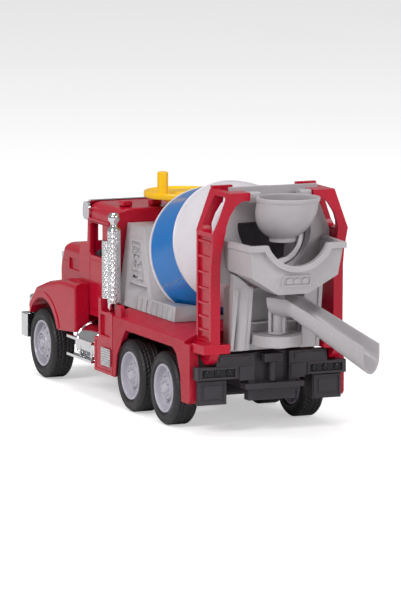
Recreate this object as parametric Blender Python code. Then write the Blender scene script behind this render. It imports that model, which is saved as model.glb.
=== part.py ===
"""Toy cement mixer: a three-axle, conventional-cab mixer truck in moulded plastic.

Every named object is one moulded or turned piece. Sizes are in millimetres, turned into
metres by MM where a mesh is made. Positions are measured from the rear axle's middle,
on the ground: +X to the bonnet, +Y to the truck's left, +Z up.
"""
import math

import bmesh
import bpy
from mathutils import Matrix, Vector

MM = 0.001
GAP = 0.3                     # clearance between neighbouring pieces

# Running gear
REAR_AXLE_X = -55.44          # puts the whole truck's box over the world origin
MID_AXLE = 49.0
FRONT_AXLE = 185.6
TYRE_RADIUS = 20.5
TYRE_WIDTH = 14.0
TYRE_OUTER_Y = 45.1
TYRE_INNER_Y = TYRE_OUTER_Y - TYRE_WIDTH
RIM_RADIUS = 14.0
AXLE_RADIUS = 2.0
CHASSIS_HALF = 14.0

# Body
DECK_TOP = 51.4
DECK_UNDER = 46.0
DECK_HALF = 46.2
DECK_FRONT = 70.3
DECK_REAR = -34.1
SKIRT_REAR = -41.3
CAB_REAR = 88.2
CAB_HALF = 36.0
CAB_ROOF = 110.0
COWL_FRONT = 147.0
HOOD_HALF = 23.5
FENDER_OUTER = 45.0
ARCH_CENTRE = (182.6, 23.0)
ARCH_RADIUS = 24.8
STACK_Y = 42.0
PEDESTAL_HALF = 30.0
PEDESTAL_TOP = 102.0
CRADLE_FOOT = 36.0
CRADLE_SKIRT = 64.4
CRADLE_REAR = 5.0
CRADLE_FRONT = 87.6

# Drum: its axis lies in the truck's middle plane and rises towards the rear
DRUM_TILT = math.radians(16.8)
DRUM_ORIGIN = Vector((33.4, 0.0, 89.2))   # middle of the band's front edge
DRUM_NOSE = -24.0
NOSE_RADIUS = 8.0
BAND_FRONT_RADIUS = 37.8
BAND_REAR_RADIUS = 36.0
BAND_LENGTH = 28.9
MOUTH_AT = 80.0
MOUTH_RADIUS = 19.8
DRUM_WALL = 1.8
DRUM_CLEARANCE = 1.5
SHAFT_RADIUS = 2.4

# Crank wheel on its upright shaft
CRANK_X = 79.0
CRANK_RADIUS = 22.0
CRANK_LOW = 116.5
CRANK_HIGH = 120.2
KNOB_AT = Vector((-8.4, 15.5))
KNOB_TOP = 132.2
BEVEL_NEAR = 5.5              # bevel wheels, measured from where the two axes cross
BEVEL_FAR = 8.5

# Rear towers, hopper, collector and chute
TOWER_OUTER = 39.3
TOWER_INNER = 33.7
KNEE_Z = 112.8
TOWER_TOP = 134.5
TOWER_LEAN = 8.0
MOUTH_HOLE = 22.0
MOUTH_HOLE_Z = 111.6
MOUTH_SHOULDER = 117.0
HOPPER_X = -69.4
HOPPER_RADIUS = 17.4
HOPPER_RIM = 132.3
HOPPER_THROAT = 111.2         # the bowl leans forwards from its rim down to here
HOPPER_LEAN = 0.38
HOPPER_PIVOT = Vector((-56.0, 0.0, 132.2))
RIM_TOP = 108.0
RIM_THICK = 3.2
DIP_RADIUS = 18.9
DIP_CENTRE = 114.9
CHUTE_PIVOT = Vector((-56.0, 0.0, 55.7))
CHUTE_SWING = math.radians(36.0)
CHUTE_HALF = 9.35
CHUTE_WALL = 1.6
SHELF_RADIUS = 13.5
HITCH_RECESS = -44.5

DRUM_SIDES = 32               # sides of the drum
ROUND = 24                    # sides of large round pieces
SMALL = 12                    # sides of small round pieces


def clear_scene():
    for thing in list(bpy.data.objects):
        bpy.data.objects.remove(thing, do_unlink=True)


def srgb(red, green, blue):
    """Linear colour from 0-255 display values."""
    def linear(value):
        value /= 255.0
        return value / 12.92 if value <= 0.04045 else ((value + 0.055) / 1.055) ** 2.4
    return (linear(red), linear(green), linear(blue), 1.0)


def make_material(name, colour, roughness, metallic=0.0):
    material = bpy.data.materials.new(name)
    material.use_nodes = True
    shader = material.node_tree.nodes["Principled BSDF"]
    shader.inputs["Base Color"].default_value = colour
    shader.inputs["Roughness"].default_value = roughness
    shader.inputs["Metallic"].default_value = metallic
    return material


def make_materials():
    return {
        "red": make_material("red_plastic", srgb(190, 30, 55), 0.4),
        "grey": make_material("grey_plastic", srgb(172, 168, 172), 0.45),
        "white": make_material("white_plastic", srgb(226, 224, 226), 0.4),
        "blue": make_material("blue_plastic", srgb(10, 115, 185), 0.4),
        "yellow": make_material("yellow_plastic", srgb(253, 200, 50), 0.4),
        "black": make_material("black_plastic", srgb(45, 43, 47), 0.5),
        "tyre": make_material("tyre_rubber", srgb(42, 40, 44), 0.7),
        "rim": make_material("rim_plastic", srgb(175, 170, 185), 0.35, 0.2),
        "chrome": make_material("chrome_plating", srgb(225, 225, 228), 0.12, 1.0),
        "steel": make_material("axle_steel", srgb(165, 165, 170), 0.3, 1.0),
    }


def add_object(name, bm, material, parent, location=(0, 0, 0), smooth=False):
    """Turn a bmesh in millimetres into a named object in metres."""
    bmesh.ops.remove_doubles(bm, verts=bm.verts, dist=1e-4)
    bmesh.ops.recalc_face_normals(bm, faces=bm.faces)
    bmesh.ops.scale(bm, vec=(MM, MM, MM), verts=bm.verts)
    mesh = bpy.data.meshes.new(name)
    bm.to_mesh(mesh)
    bm.free()
    if smooth:
        mesh.shade_smooth()
        mesh.set_sharp_from_angle(angle=math.radians(35))
    if material:
        mesh.materials.append(material)
    thing = bpy.data.objects.new(name, mesh)
    bpy.context.collection.objects.link(thing)
    thing.parent = parent
    thing.location = Vector(location) * MM
    return thing


def add_empty(name, parent, location):
    empty = bpy.data.objects.new(name, None)
    bpy.context.collection.objects.link(empty)
    empty.parent = parent
    empty.location = Vector(location) * MM
    return empty


def prism(outline, axis, low, high):
    """A flat outline pushed along an axis. The outline is (y, z), (x, z) or (x, y)."""
    place = {
        "X": lambda a, b: (low, a, b),
        "Y": lambda a, b: (a, low, b),
        "Z": lambda a, b: (a, b, low),
    }[axis]
    bm = bmesh.new()
    face = bm.faces.new([bm.verts.new(place(a, b)) for a, b in outline])
    grown = bmesh.ops.extrude_face_region(bm, geom=[face])
    step = Vector([high - low if letter == axis else 0.0 for letter in "XYZ"])
    moved = [item for item in grown["geom"] if isinstance(item, bmesh.types.BMVert)]
    bmesh.ops.translate(bm, vec=step, verts=moved)
    bmesh.ops.recalc_face_normals(bm, faces=bm.faces)
    return bm


def block(x, y, z):
    """A box from three (low, high) pairs."""
    outline = [(x[0], y[0]), (x[1], y[0]), (x[1], y[1]), (x[0], y[1])]
    return prism(outline, "Z", z[0], z[1])


def turned(profile, sides, closed=False):
    """Turn a (radius, height) profile about +Z. An open profile starts and ends on the axis."""
    bm = bmesh.new()
    verts = [bm.verts.new((radius, 0.0, height)) for radius, height in profile]
    edges = [bm.edges.new(pair) for pair in zip(verts, verts[1:])]
    if closed:
        edges.append(bm.edges.new((verts[-1], verts[0])))
    bmesh.ops.spin(bm, geom=verts + edges, axis=(0, 0, 1), cent=(0, 0, 0),
                   angle=2 * math.pi, steps=sides, use_merge=True)
    bmesh.ops.remove_doubles(bm, verts=bm.verts, dist=1e-4)
    return bm


def move(bm, matrix):
    bmesh.ops.transform(bm, matrix=matrix, verts=bm.verts)
    return bm


def along_x(bm):
    """Lay a shape turned about +Z along +X."""
    return move(bm, Matrix.Rotation(math.pi / 2, 4, "Y"))


def along_y(bm):
    """Lay a shape turned about +Z along +Y."""
    return move(bm, Matrix.Rotation(-math.pi / 2, 4, "X"))


def shifted(bm, x=0.0, y=0.0, z=0.0):
    return move(bm, Matrix.Translation((x, y, z)))


def round_edges(bm, wanted, radius, segments=2):
    """Bevel the edges for which wanted(middle, direction) is true."""
    chosen = []
    for edge in bm.edges:
        start, end = edge.verts[0].co, edge.verts[1].co
        if wanted((start + end) / 2, (end - start).normalized()):
            chosen.append(edge)
    bmesh.ops.bevel(bm, geom=chosen, offset=radius, segments=segments, profile=0.5,
                    affect="EDGES", clamp_overlap=True)
    return bm


def hull(points):
    bm = bmesh.new()
    for point in points:
        bm.verts.new(point)
    result = bmesh.ops.convex_hull(bm, input=bm.verts)
    spare = [item for item in result["geom_interior"] if isinstance(item, bmesh.types.BMVert)]
    bmesh.ops.delete(bm, geom=spare, context="VERTS")
    return bm


def arc(centre, radius, start, end, steps):
    """Points on an arc, in degrees, ends included."""
    points = []
    for index in range(steps + 1):
        angle = math.radians(start + (end - start) * index / steps)
        points.append((centre[0] + radius * math.cos(angle), centre[1] + radius * math.sin(angle)))
    return points


def combine(thing, bm, operation, matrix=None):
    """Cut a helper shape from an object, or join it on. The helper stays hidden."""
    helper = add_object(thing.name + "_helper", bm, None, thing.parent, thing.location / MM)
    if matrix is not None:
        helper.matrix_local = matrix
    helper.hide_render = True
    helper.display_type = "WIRE"
    modifier = thing.modifiers.new(operation.lower(), "BOOLEAN")
    modifier.operation = operation
    modifier.object = helper
    modifier.solver = "EXACT"


def cut(thing, bm, matrix=None):
    combine(thing, bm, "DIFFERENCE", matrix)


def join(thing, bm, matrix=None):
    combine(thing, bm, "UNION", matrix)


def drum_matrix():
    """Local +Z along the drum's axis to the rear, local +X up, in metres."""
    turn = Matrix.Rotation(-(math.pi / 2 - DRUM_TILT), 4, "Y")
    return Matrix.Translation(DRUM_ORIGIN * MM) @ turn


def drum_radius(along):
    """Outer radius of the drum at a distance along its axis from the band's front edge."""
    if along < 0:
        part = 1 - (along / DRUM_NOSE) ** 1.6
        return NOSE_RADIUS + (BAND_FRONT_RADIUS - NOSE_RADIUS) * max(part, 0.0) ** 0.625
    if along < BAND_LENGTH:
        return BAND_FRONT_RADIUS + (BAND_REAR_RADIUS - BAND_FRONT_RADIUS) * along / BAND_LENGTH
    part = min((along - BAND_LENGTH) / (MOUTH_AT - BAND_LENGTH), 1.0)
    return BAND_REAR_RADIUS - (BAND_REAR_RADIUS - MOUTH_RADIUS) * part ** 1.3


# ---------------------------------------------------------------- running gear

def build_chassis(truck, materials):
    outline = [
        (-40.0, 45.6), (DECK_FRONT, 45.6), (DECK_FRONT, 38.0), (91.0, 38.0), (91.0, 44.6),
        (131.0, 44.6), (131.0, 38.0), (150.0, 38.0), (150.0, 52.5), (203.0, 52.5),
        (203.0, 34.0), (215.6, 34.0), (215.6, 24.0), (192.0, 24.0), (192.0, 15.5),
        (179.0, 15.5), (179.0, 24.0), (56.0, 24.0), (56.0, 15.5), (-7.0, 15.5), (-7.0, 24.0),
        (-40.0, 24.0),
    ]
    chassis = add_object("chassis_frame", prism(outline, "Y", -CHASSIS_HALF, CHASSIS_HALF),
                         materials["black"], truck)
    for x in (0.0, MID_AXLE, FRONT_AXLE):
        bore = along_y(turned([(0, -20), (2.35, -20), (2.35, 20), (0, 20)], SMALL))
        cut(chassis, shifted(bore, x=x, z=TYRE_RADIUS))
    for low, high in ((12.0, 37.0), (97.0, 125.0), (135.0, 147.0)):
        cut(chassis, block((low, high), (-9.0, 9.0), (10.0, 60.0)))
    for low, high, reach in ((74.0, 94.0, 37.6), (108.0, 119.0, 22.8)):
        join(chassis, block((low, high), (-reach, reach), (26.5, 33.5)))


def rim_profile():
    """Wheel centre with a deep dish outside and a blind axle hole inside."""
    lip = TYRE_WIDTH - 0.6
    return [
        (0, 9.0), (2.3, 9.0), (2.3, 2.5), (5.5, 2.5), (6.5, 4.0), (10.2, 4.5), (12.4, 0.8),
        (RIM_RADIUS - GAP, 0.8), (RIM_RADIUS - GAP, lip), (12.4, lip), (11.2, 8.0),
        (6.0, 7.6), (5.0, 11.4), (0, 12.0),
    ]


def tyre_profile():
    outer = TYRE_RADIUS
    return [
        (RIM_RADIUS, 0.6), (16.5, 0.0), (18.6, 0.2), (outer, 2.4), (outer, TYRE_WIDTH - 2.4),
        (18.6, TYRE_WIDTH - 0.2), (16.5, TYRE_WIDTH), (RIM_RADIUS, TYRE_WIDTH - 0.8),
    ]


def build_wheels(truck, materials):
    for name, x in (("front", FRONT_AXLE), ("mid", MID_AXLE), ("rear", 0.0)):
        centre = (x, 0.0, TYRE_RADIUS)
        reach = TYRE_INNER_Y + 8.6
        rod = along_y(turned([(0, -reach), (AXLE_RADIUS, -reach), (AXLE_RADIUS, reach),
                              (0, reach)], SMALL))
        add_object("axle_" + name, rod, materials["steel"], truck, centre, smooth=True)
        for side, sign in (("left", 1), ("right", -1)):
            place = (x, sign * TYRE_INNER_Y, TYRE_RADIUS)
            for kind, profile, closed in (("tyre", tyre_profile(), True),
                                          ("rim", rim_profile(), False)):
                piece = add_object("_".join((kind, name, side)), turned(profile, ROUND, closed),
                                   materials[kind], truck, place, smooth=True)
                piece.rotation_euler = (-sign * math.pi / 2, 0, 0)


# ---------------------------------------------------------------- cab and bonnet

def build_cab(truck, materials):
    outline = [
        (CAB_REAR, 44.0), (131.5, 44.0), (131.5, 53.0), (COWL_FRONT, 53.0), (COWL_FRONT, 82.5),
        (145.0, 84.5), (135.0, 85.5), (133.8, 104.0), (129.0, CAB_ROOF), (CAB_REAR, CAB_ROOF),
    ]
    bm = prism(outline, "Y", -CAB_HALF, CAB_HALF)
    round_edges(bm, lambda mid, way: abs(way.x) > 0.9 and mid.z > 109, 6.0, 3)
    round_edges(bm, lambda mid, way: abs(way.y) > 0.9 and mid.z > 109 and mid.x < 100, 3.0, 2)
    shell = add_object("cab_shell", bm, materials["red"], truck)
    inner = CAB_HALF - 2.5
    cavity = block((CAB_REAR + 2.5, 131.2), (-inner, inner), (30.0, CAB_ROOF - 3.0))
    round_edges(cavity, lambda mid, way: abs(way.x) > 0.9 and mid.z > 100, 5.0, 2)
    cut(shell, cavity)
    window = [(111.5, 79.0), (129.0, 79.0), (130.5, 81.0), (130.5, 96.0), (128.0, 98.0),
              (111.5, 98.0)]
    cut(shell, prism(window, "Y", -50.0, 50.0))
    cut(shell, block((120.0, 150.0), (-30.5, 30.5), (86.5, 98.0)))

    inside = [
        (91.1, 45.0), (130.8, 45.0), (130.8, 80.0), (124.0, 82.5), (122.0, 76.0), (126.0, 58.0),
        (108.0, 58.0), (107.0, 66.0), (99.0, 66.0), (97.0, 86.0), (91.1, 86.0),
    ]
    interior = add_object("cab_interior", prism(inside, "Y", -33.0, 33.0), materials["black"],
                          truck)
    cut(interior, block((96.0, 108.5), (-2.5, 2.5), (59.0, 90.0)))


def build_hood(truck, materials):
    outline = [(COWL_FRONT + GAP, 53.2), (206.5, 53.2), (208.0, 55.0), (208.0, 71.0),
               (205.5, 75.5), (200.0, 77.4), (COWL_FRONT + GAP, 78.0)]
    bm = prism(outline, "Y", -HOOD_HALF, HOOD_HALF)
    round_edges(bm, lambda mid, way: abs(way.y) < 0.3 and mid.z > 70 and abs(mid.y) > 20, 4.5, 3)
    hood = add_object("hood", bm, materials["red"], truck)
    for sign in (1, -1):
        vent = block((179.5, 195.0), sorted((sign * 22.3, sign * 30.0)), (62.5, 69.0))
        cut(hood, vent)


def fender_outline():
    top = [(131.8, 62.0), (155.5, 62.0), (180.0, 57.7), (196.0, 53.2), (203.0, 47.0),
           (204.8, 36.2)]
    return top + arc(ARCH_CENTRE, ARCH_RADIUS, 33.0, 159.0, 9) + [(131.8, 34.0)]


def build_fenders(truck, materials):
    for side, sign in (("left", 1), ("right", -1)):
        inner, outer = sign * (HOOD_HALF + 0.5), sign * FENDER_OUTER
        bm = prism(fender_outline(), "Y", inner, outer)
        round_edges(bm, lambda mid, way: abs(mid.y) > 44 and mid.z > 46 and mid.x > 140
                    and abs(way.y) < 0.1 and not in_arch(mid), 3.5, 2)
        fender = add_object("fender_" + side, bm, materials["red"], truck)
        cowl_side = sorted((0.0, sign * (CAB_HALF + GAP)))
        cut(fender, block((120.0, COWL_FRONT + GAP), cowl_side, (20.0, 90.0)))


def in_arch(point):
    """True for a point on the edge of the front wheel opening."""
    across, up = point.x - ARCH_CENTRE[0], point.z - ARCH_CENTRE[1]
    return math.hypot(across, up) < ARCH_RADIUS + 0.5


def build_front_chrome(truck, materials):
    chrome = materials["chrome"]
    slats = 7
    pitch = 40.0 / (2 * slats + 1)
    face = [(208.4, -22.0)]
    for index in range(slats + 1):
        low = -20.0 + 2 * index * pitch
        face += [(211.6, -22.0 if index == 0 else low), (211.6, low + pitch)]
        if index < slats:
            face += [(210.0, low + pitch), (210.0, low + 2 * pitch)]
    face[-1] = (211.6, 22.0)
    face.append((208.4, 22.0))
    add_object("grille", prism(face, "Z", 38.0, 70.5), chrome, truck)

    for side, sign in (("left", 1), ("right", -1)):
        bm = block((205.2, 209.8), sorted((sign * 27.0, sign * 43.2)), (35.3, 46.6))
        round_edges(bm, lambda mid, way: abs(way.x) > 0.9, 2.0, 2)
        add_object("headlamp_" + side, bm, chrome, truck)

    bumper = [(208.0, 42.4), (208.0, 45.4), (217.4, 45.4), (218.8, 44.9), (219.3, 43.5),
              (219.3, -43.5), (218.8, -44.9), (217.4, -45.4), (208.0, -45.4), (208.0, -42.4),
              (215.6, -42.4), (216.3, -41.0), (216.3, 41.0), (215.6, 42.4)]
    add_object("front_bumper", prism(bumper, "Z", 21.0, 35.0), chrome, truck)

    visor = [(134.2, 99.2), (137.2, 98.8), (138.2, 101.0), (137.0, 106.0), (132.6, 110.6),
             (129.6, 110.9), (129.3, 110.4), (134.2, 104.4)]
    wrap = add_object("roof_visor", prism(visor, "Y", -37.2, 37.2), chrome, truck)
    end = [(128.2, 103.0), (132.0, 99.4), (137.2, 98.8), (138.2, 101.0), (137.0, 106.0),
           (133.0, 109.8), (129.5, 109.0), (128.2, 107.0)]
    for sign in (1, -1):
        join(wrap, prism(end, "Y", sign * 36.4, sign * 37.6))


def build_roof_lamps(truck, materials):
    for number, y in enumerate((27.0, 9.0, -9.0, -27.0), start=1):
        bm = block((95.0, 101.5), (y - 3.2, y + 3.2), (CAB_ROOF + 0.05, CAB_ROOF + 3.4))
        round_edges(bm, lambda mid, way: mid.z > CAB_ROOF + 3, 0.6, 1)
        add_object("roof_lamp_%d" % number, bm, materials["red"], truck)


# ---------------------------------------------------------------- side equipment

def build_side_equipment(truck, materials):
    stack = [(0, 57.7), (3.8, 57.7), (3.8, 99.0), (3.2, 100.5), (2.1, 101.5), (2.1, 103.5),
             (3.2, 105.0), (3.4, 107.0), (2.2, 108.8), (0, 109.2)]
    shield = [(0, 60.2), (3.4, 60.2), (4.0, 61.0), (4.0, 92.4), (3.4, 93.2), (0, 93.2)]
    stub = [(0, 52.8), (1.7, 52.8), (1.7, 62.0), (0, 62.0)]
    box = [(71.0, 17.0), (98.6, 17.0), (98.6, 36.5), (92.2, 36.5), (92.2, 59.5), (88.0, 59.5),
           (88.0, 52.4), (71.0, 52.4)]
    tank = [(0, 0), (10.6, 0), (11.6, 0.8), (11.6, 2.6), (11.1, 3.0), (11.1, 27.0),
            (11.6, 27.4), (11.6, 29.2), (10.6, 30.0), (0, 30.0)]
    for side, sign in (("left", 1), ("right", -1)):
        y = sign * STACK_Y
        pipe = add_object("exhaust_stack_" + side, shifted(turned(stack, SMALL), 78.8, y),
                          materials["chrome"], truck, smooth=True)
        join(pipe, shifted(turned(shield, SMALL), 82.6, y + sign * 1.55))
        join(pipe, shifted(turned(stub, SMALL), 84.2, y))
        add_object("side_box_" + side, prism(box, "Y", sign * 38.0, sign * 46.3),
                   materials["red"], truck)
        panel = block((72.5, 86.0), sorted((sign * 46.6, sign * 47.6)), (22.0, 32.0))
        add_object("step_panel_" + side, panel, materials["chrome"], truck)
        drum = shifted(along_x(turned(tank, 24)), 100.0, sign * 34.4, 29.0)
        body = add_object("fuel_tank_" + side, drum, materials["chrome"], truck, smooth=True)
        for low, reach in ((30.6, 45.0), (20.2, 43.5)):
            join(body, block((101.0, 139.0), sorted((sign * reach, sign * 47.4)),
                             (low, low + 1.6)))
        for low in (104.0, 122.0):
            join(body, block((low, low + 2.5), sorted((sign * 41.0, sign * 45.6)), (20.2, 32.2)))


# ---------------------------------------------------------------- deck and cradle

def drum_room():
    """The drum's outer shape grown by its clearance, with its front shaft's bore."""
    profile = [(0, -60.0), (SHAFT_RADIUS + 0.4, -60.0), (SHAFT_RADIUS + 0.4, DRUM_NOSE - 1.2)]
    stations = [DRUM_NOSE + 0.01, -22.0, -18.0, -12.0, -6.0, 0.0, BAND_LENGTH, 45.0, 60.0]
    for along in stations:
        reach = DRUM_CLEARANCE if along > DRUM_NOSE + 1 else 1.2
        profile.append((drum_radius(along) + reach, along - (1.2 if along < 0 else 0.0)))
    profile.append((0, 60.0))
    return turned(profile, DRUM_SIDES)


def build_deck(truck, materials):
    section = [(-DECK_HALF, DECK_UNDER), (DECK_HALF, DECK_UNDER), (DECK_HALF, DECK_TOP),
               (36.8, 55.8), (-36.8, 55.8), (-DECK_HALF, DECK_TOP)]
    deck = add_object("rear_deck", prism(section, "X", DECK_REAR, DECK_FRONT),
                      materials["red"], truck)
    flap = [(SKIRT_REAR, 50.0), (SKIRT_REAR, 19.5), (-39.6, 17.5), (-29.6, 17.5),
            (-28.2, 32.0), (-22.5, 43.0), (-22.5, 50.0)]
    skirt = [(DECK_FRONT, 17.0), (DECK_FRONT, 50.0), (SKIRT_REAR, 50.0), (SKIRT_REAR, 19.5),
             (-39.6, 17.5), (-29.6, 17.5), (-28.2, 32.0), (-22.5, 43.0), (-16.3, 46.4), (51.0, 46.4),
             (56.0, 41.0), (64.5, 30.0), (67.0, 17.0)]
    for sign in (1, -1):
        join(deck, prism(skirt, "Y", sign * 43.4, sign * (DECK_HALF + 0.01)))
        join(deck, prism(flap, "Y", sign * 41.0, sign * (DECK_HALF + 0.01)))
        tab = arc((63.5, 54.5), 4.3, 0.0, 180.0, 6) + [(59.2, 50.0), (67.8, 50.0)]
        join(deck, prism(tab, "Y", sign * 43.0, sign * 45.6))
    cut(deck, drum_room(), drum_matrix())
    for low in (-45.5, 30.0):
        wheel = along_y(turned([(0, low), (21.2, low), (21.2, low + 15.5), (0, low + 15.5)],
                               ROUND))
        cut(deck, shifted(wheel, x=MID_AXLE, z=TYRE_RADIUS))


def build_cradle(truck, materials):
    """Pedestal whose sides lean in to the top, with a low skirt to the rear."""
    half = [(CRADLE_FOOT, 56.1), (34.9, CRADLE_SKIRT), (PEDESTAL_HALF, PEDESTAL_TOP)]
    section = half + [(-y, z) for y, z in reversed(half)]
    cradle = add_object("drum_cradle", prism(section, "X", CRADLE_REAR, CRADLE_FRONT),
                        materials["grey"], truck)
    above_skirt = [(0.0, CRADLE_SKIRT), (40.6, CRADLE_SKIRT), (64.0, PEDESTAL_TOP + 2.0),
                   (0.0, PEDESTAL_TOP + 2.0)]
    cut(cradle, prism(above_skirt, "Y", -40.0, 40.0))
    cut(cradle, drum_room(), drum_matrix())
    cut(cradle, block((64.0, 86.0), (-20.0, 20.0), (40.0, 97.0)))
    bore = turned([(0, 90), (3.4, 90), (3.4, 110), (0, 110)], SMALL)
    cut(cradle, shifted(bore, CRANK_X))


# ---------------------------------------------------------------- drum and crank

def drum_profile():
    """Closed half section of the hollow drum with its nose and solid front shaft."""
    outer = [(0, -41.2), (SHAFT_RADIUS, -41.2), (SHAFT_RADIUS, -25.0)]
    outer += [(drum_radius(u), u) for u in (-23.99, -22.8, -20.0, -15.0, -9.0, -4.0, -1.3)]
    outer += [(BAND_FRONT_RADIUS + 0.3, -1.2), (BAND_FRONT_RADIUS + 0.3, -0.1),
              (BAND_FRONT_RADIUS - 1.0, 0.0), (BAND_REAR_RADIUS - 1.0, BAND_LENGTH),
              (BAND_REAR_RADIUS + 0.3, BAND_LENGTH + 0.1),
              (BAND_REAR_RADIUS + 0.3, BAND_LENGTH + 1.2)]
    outer += [(drum_radius(u), u) for u in (BAND_LENGTH + 1.3, 38.0, 48.0, 58.0, 68.0, 76.0)]
    outer += [(MOUTH_RADIUS + 0.9, 77.0), (MOUTH_RADIUS + 0.9, MOUTH_AT)]
    inner = [(MOUTH_RADIUS - 1.6, MOUTH_AT)]
    inner += [(drum_radius(u) - DRUM_WALL - 0.6, u)
              for u in (74.0, 62.0, 50.0, BAND_LENGTH, 0.0, -8.0, -15.0, -19.0)]
    inner.append((0, -21.0))
    return outer + inner


def band_profile():
    return [
        (BAND_FRONT_RADIUS - 0.1, GAP), (BAND_REAR_RADIUS - 0.1, BAND_LENGTH - GAP),
        (BAND_REAR_RADIUS - 0.7, BAND_LENGTH - GAP), (BAND_FRONT_RADIUS - 0.7, GAP),
    ]


def helical_fin(start_angle):
    """A mixing fin: a ribbon on the drum's inner wall, half a turn long."""
    steps = 14
    bm = bmesh.new()
    rings = []
    for index in range(steps + 1):
        along = 44.0 + 30.0 * index / steps
        angle = start_angle + math.pi * index / steps
        reach = drum_radius(along) - DRUM_WALL - 1.2
        corners = []
        for radius, shift in ((reach, -0.6), (reach, 0.6), (reach - 6.0, 0.6),
                              (reach - 6.0, -0.6)):
            corners.append(bm.verts.new((radius * math.cos(angle), radius * math.sin(angle),
                                         along + shift)))
        rings.append(corners)
    for first, second in zip(rings, rings[1:]):
        for index in range(4):
            after = (index + 1) % 4
            bm.faces.new((first[index], first[after], second[after], second[index]))
    bm.faces.new(rings[0])
    bm.faces.new(rings[-1])
    return bm


def bevel_profile(bore):
    """A smooth bevel wheel, its cone's tip where the crank and drum axes cross."""
    slope = math.tan((math.pi / 2 - DRUM_TILT) / 2)
    near = BEVEL_NEAR * slope - 0.25
    far = BEVEL_FAR * slope - 0.25
    return [(bore, BEVEL_NEAR), (near, BEVEL_NEAR), (far, BEVEL_FAR), (far, BEVEL_FAR + 1.5),
            (bore, BEVEL_FAR + 1.5)]


def axes_crossing():
    """Where the crank's axis meets the drum's."""
    back = CRANK_X - DRUM_ORIGIN.x
    return Vector((CRANK_X, 0.0, DRUM_ORIGIN.z - back * math.tan(DRUM_TILT)))


def build_drum(truck, materials):
    axis = add_empty("drum_axis", truck, DRUM_ORIGIN)
    axis.rotation_euler = (0, -(math.pi / 2 - DRUM_TILT), 0)
    add_object("drum_shell", turned(drum_profile(), DRUM_SIDES), materials["white"], axis,
               smooth=True)
    add_object("drum_band", turned(band_profile(), DRUM_SIDES, closed=True), materials["blue"],
               axis, smooth=True)
    for number, angle in ((1, 0.6), (2, 0.6 + math.pi)):
        add_object("drum_fin_%d" % number, helical_fin(angle), materials["white"], axis)
    crossing = -(CRANK_X - DRUM_ORIGIN.x) / math.cos(DRUM_TILT)
    gear = shifted(turned(bevel_profile(SHAFT_RADIUS + GAP), 24, closed=True), z=crossing)
    add_object("drum_bevel", gear, materials["grey"], axis, smooth=True)


def build_crank(truck, materials):
    centre = (CRANK_X, 0.0, 0.0)
    low = axes_crossing().z
    edge = CRANK_RADIUS - 0.6
    wheel = [
        (0, low + BEVEL_NEAR), (1.6, low + BEVEL_NEAR), (1.6, low + 10.4), (2.9, low + 10.4),
        (2.9, 104.0), (5.5, 104.2), (5.5, 113.2), (9.5, 113.6), (9.5, 116.2), (18.4, 117.0),
        (19.6, CRANK_LOW), (edge, CRANK_LOW), (CRANK_RADIUS, CRANK_LOW + 0.6),
        (CRANK_RADIUS, CRANK_HIGH - 0.6), (edge, CRANK_HIGH), (19.6, CRANK_HIGH),
        (18.8, 119.2), (6.0, 119.2), (5.2, 119.9), (0, 119.9),
    ]
    crank = add_object("crank_wheel", turned(wheel, ROUND), materials["yellow"], truck, centre,
                       smooth=True)
    knob = [(0, 118.2), (3.3, 118.2), (3.1, 121.0), (3.1, KNOB_TOP - 0.6), (2.5, KNOB_TOP),
            (0, KNOB_TOP)]
    join(crank, shifted(turned(knob, SMALL), KNOB_AT.x, KNOB_AT.y))
    pinion = shifted(turned(bevel_profile(1.9), 24, closed=True), z=low)
    add_object("crank_bevel", pinion, materials["grey"], truck, centre, smooth=True)


# ---------------------------------------------------------------- towers and pouring end

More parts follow.
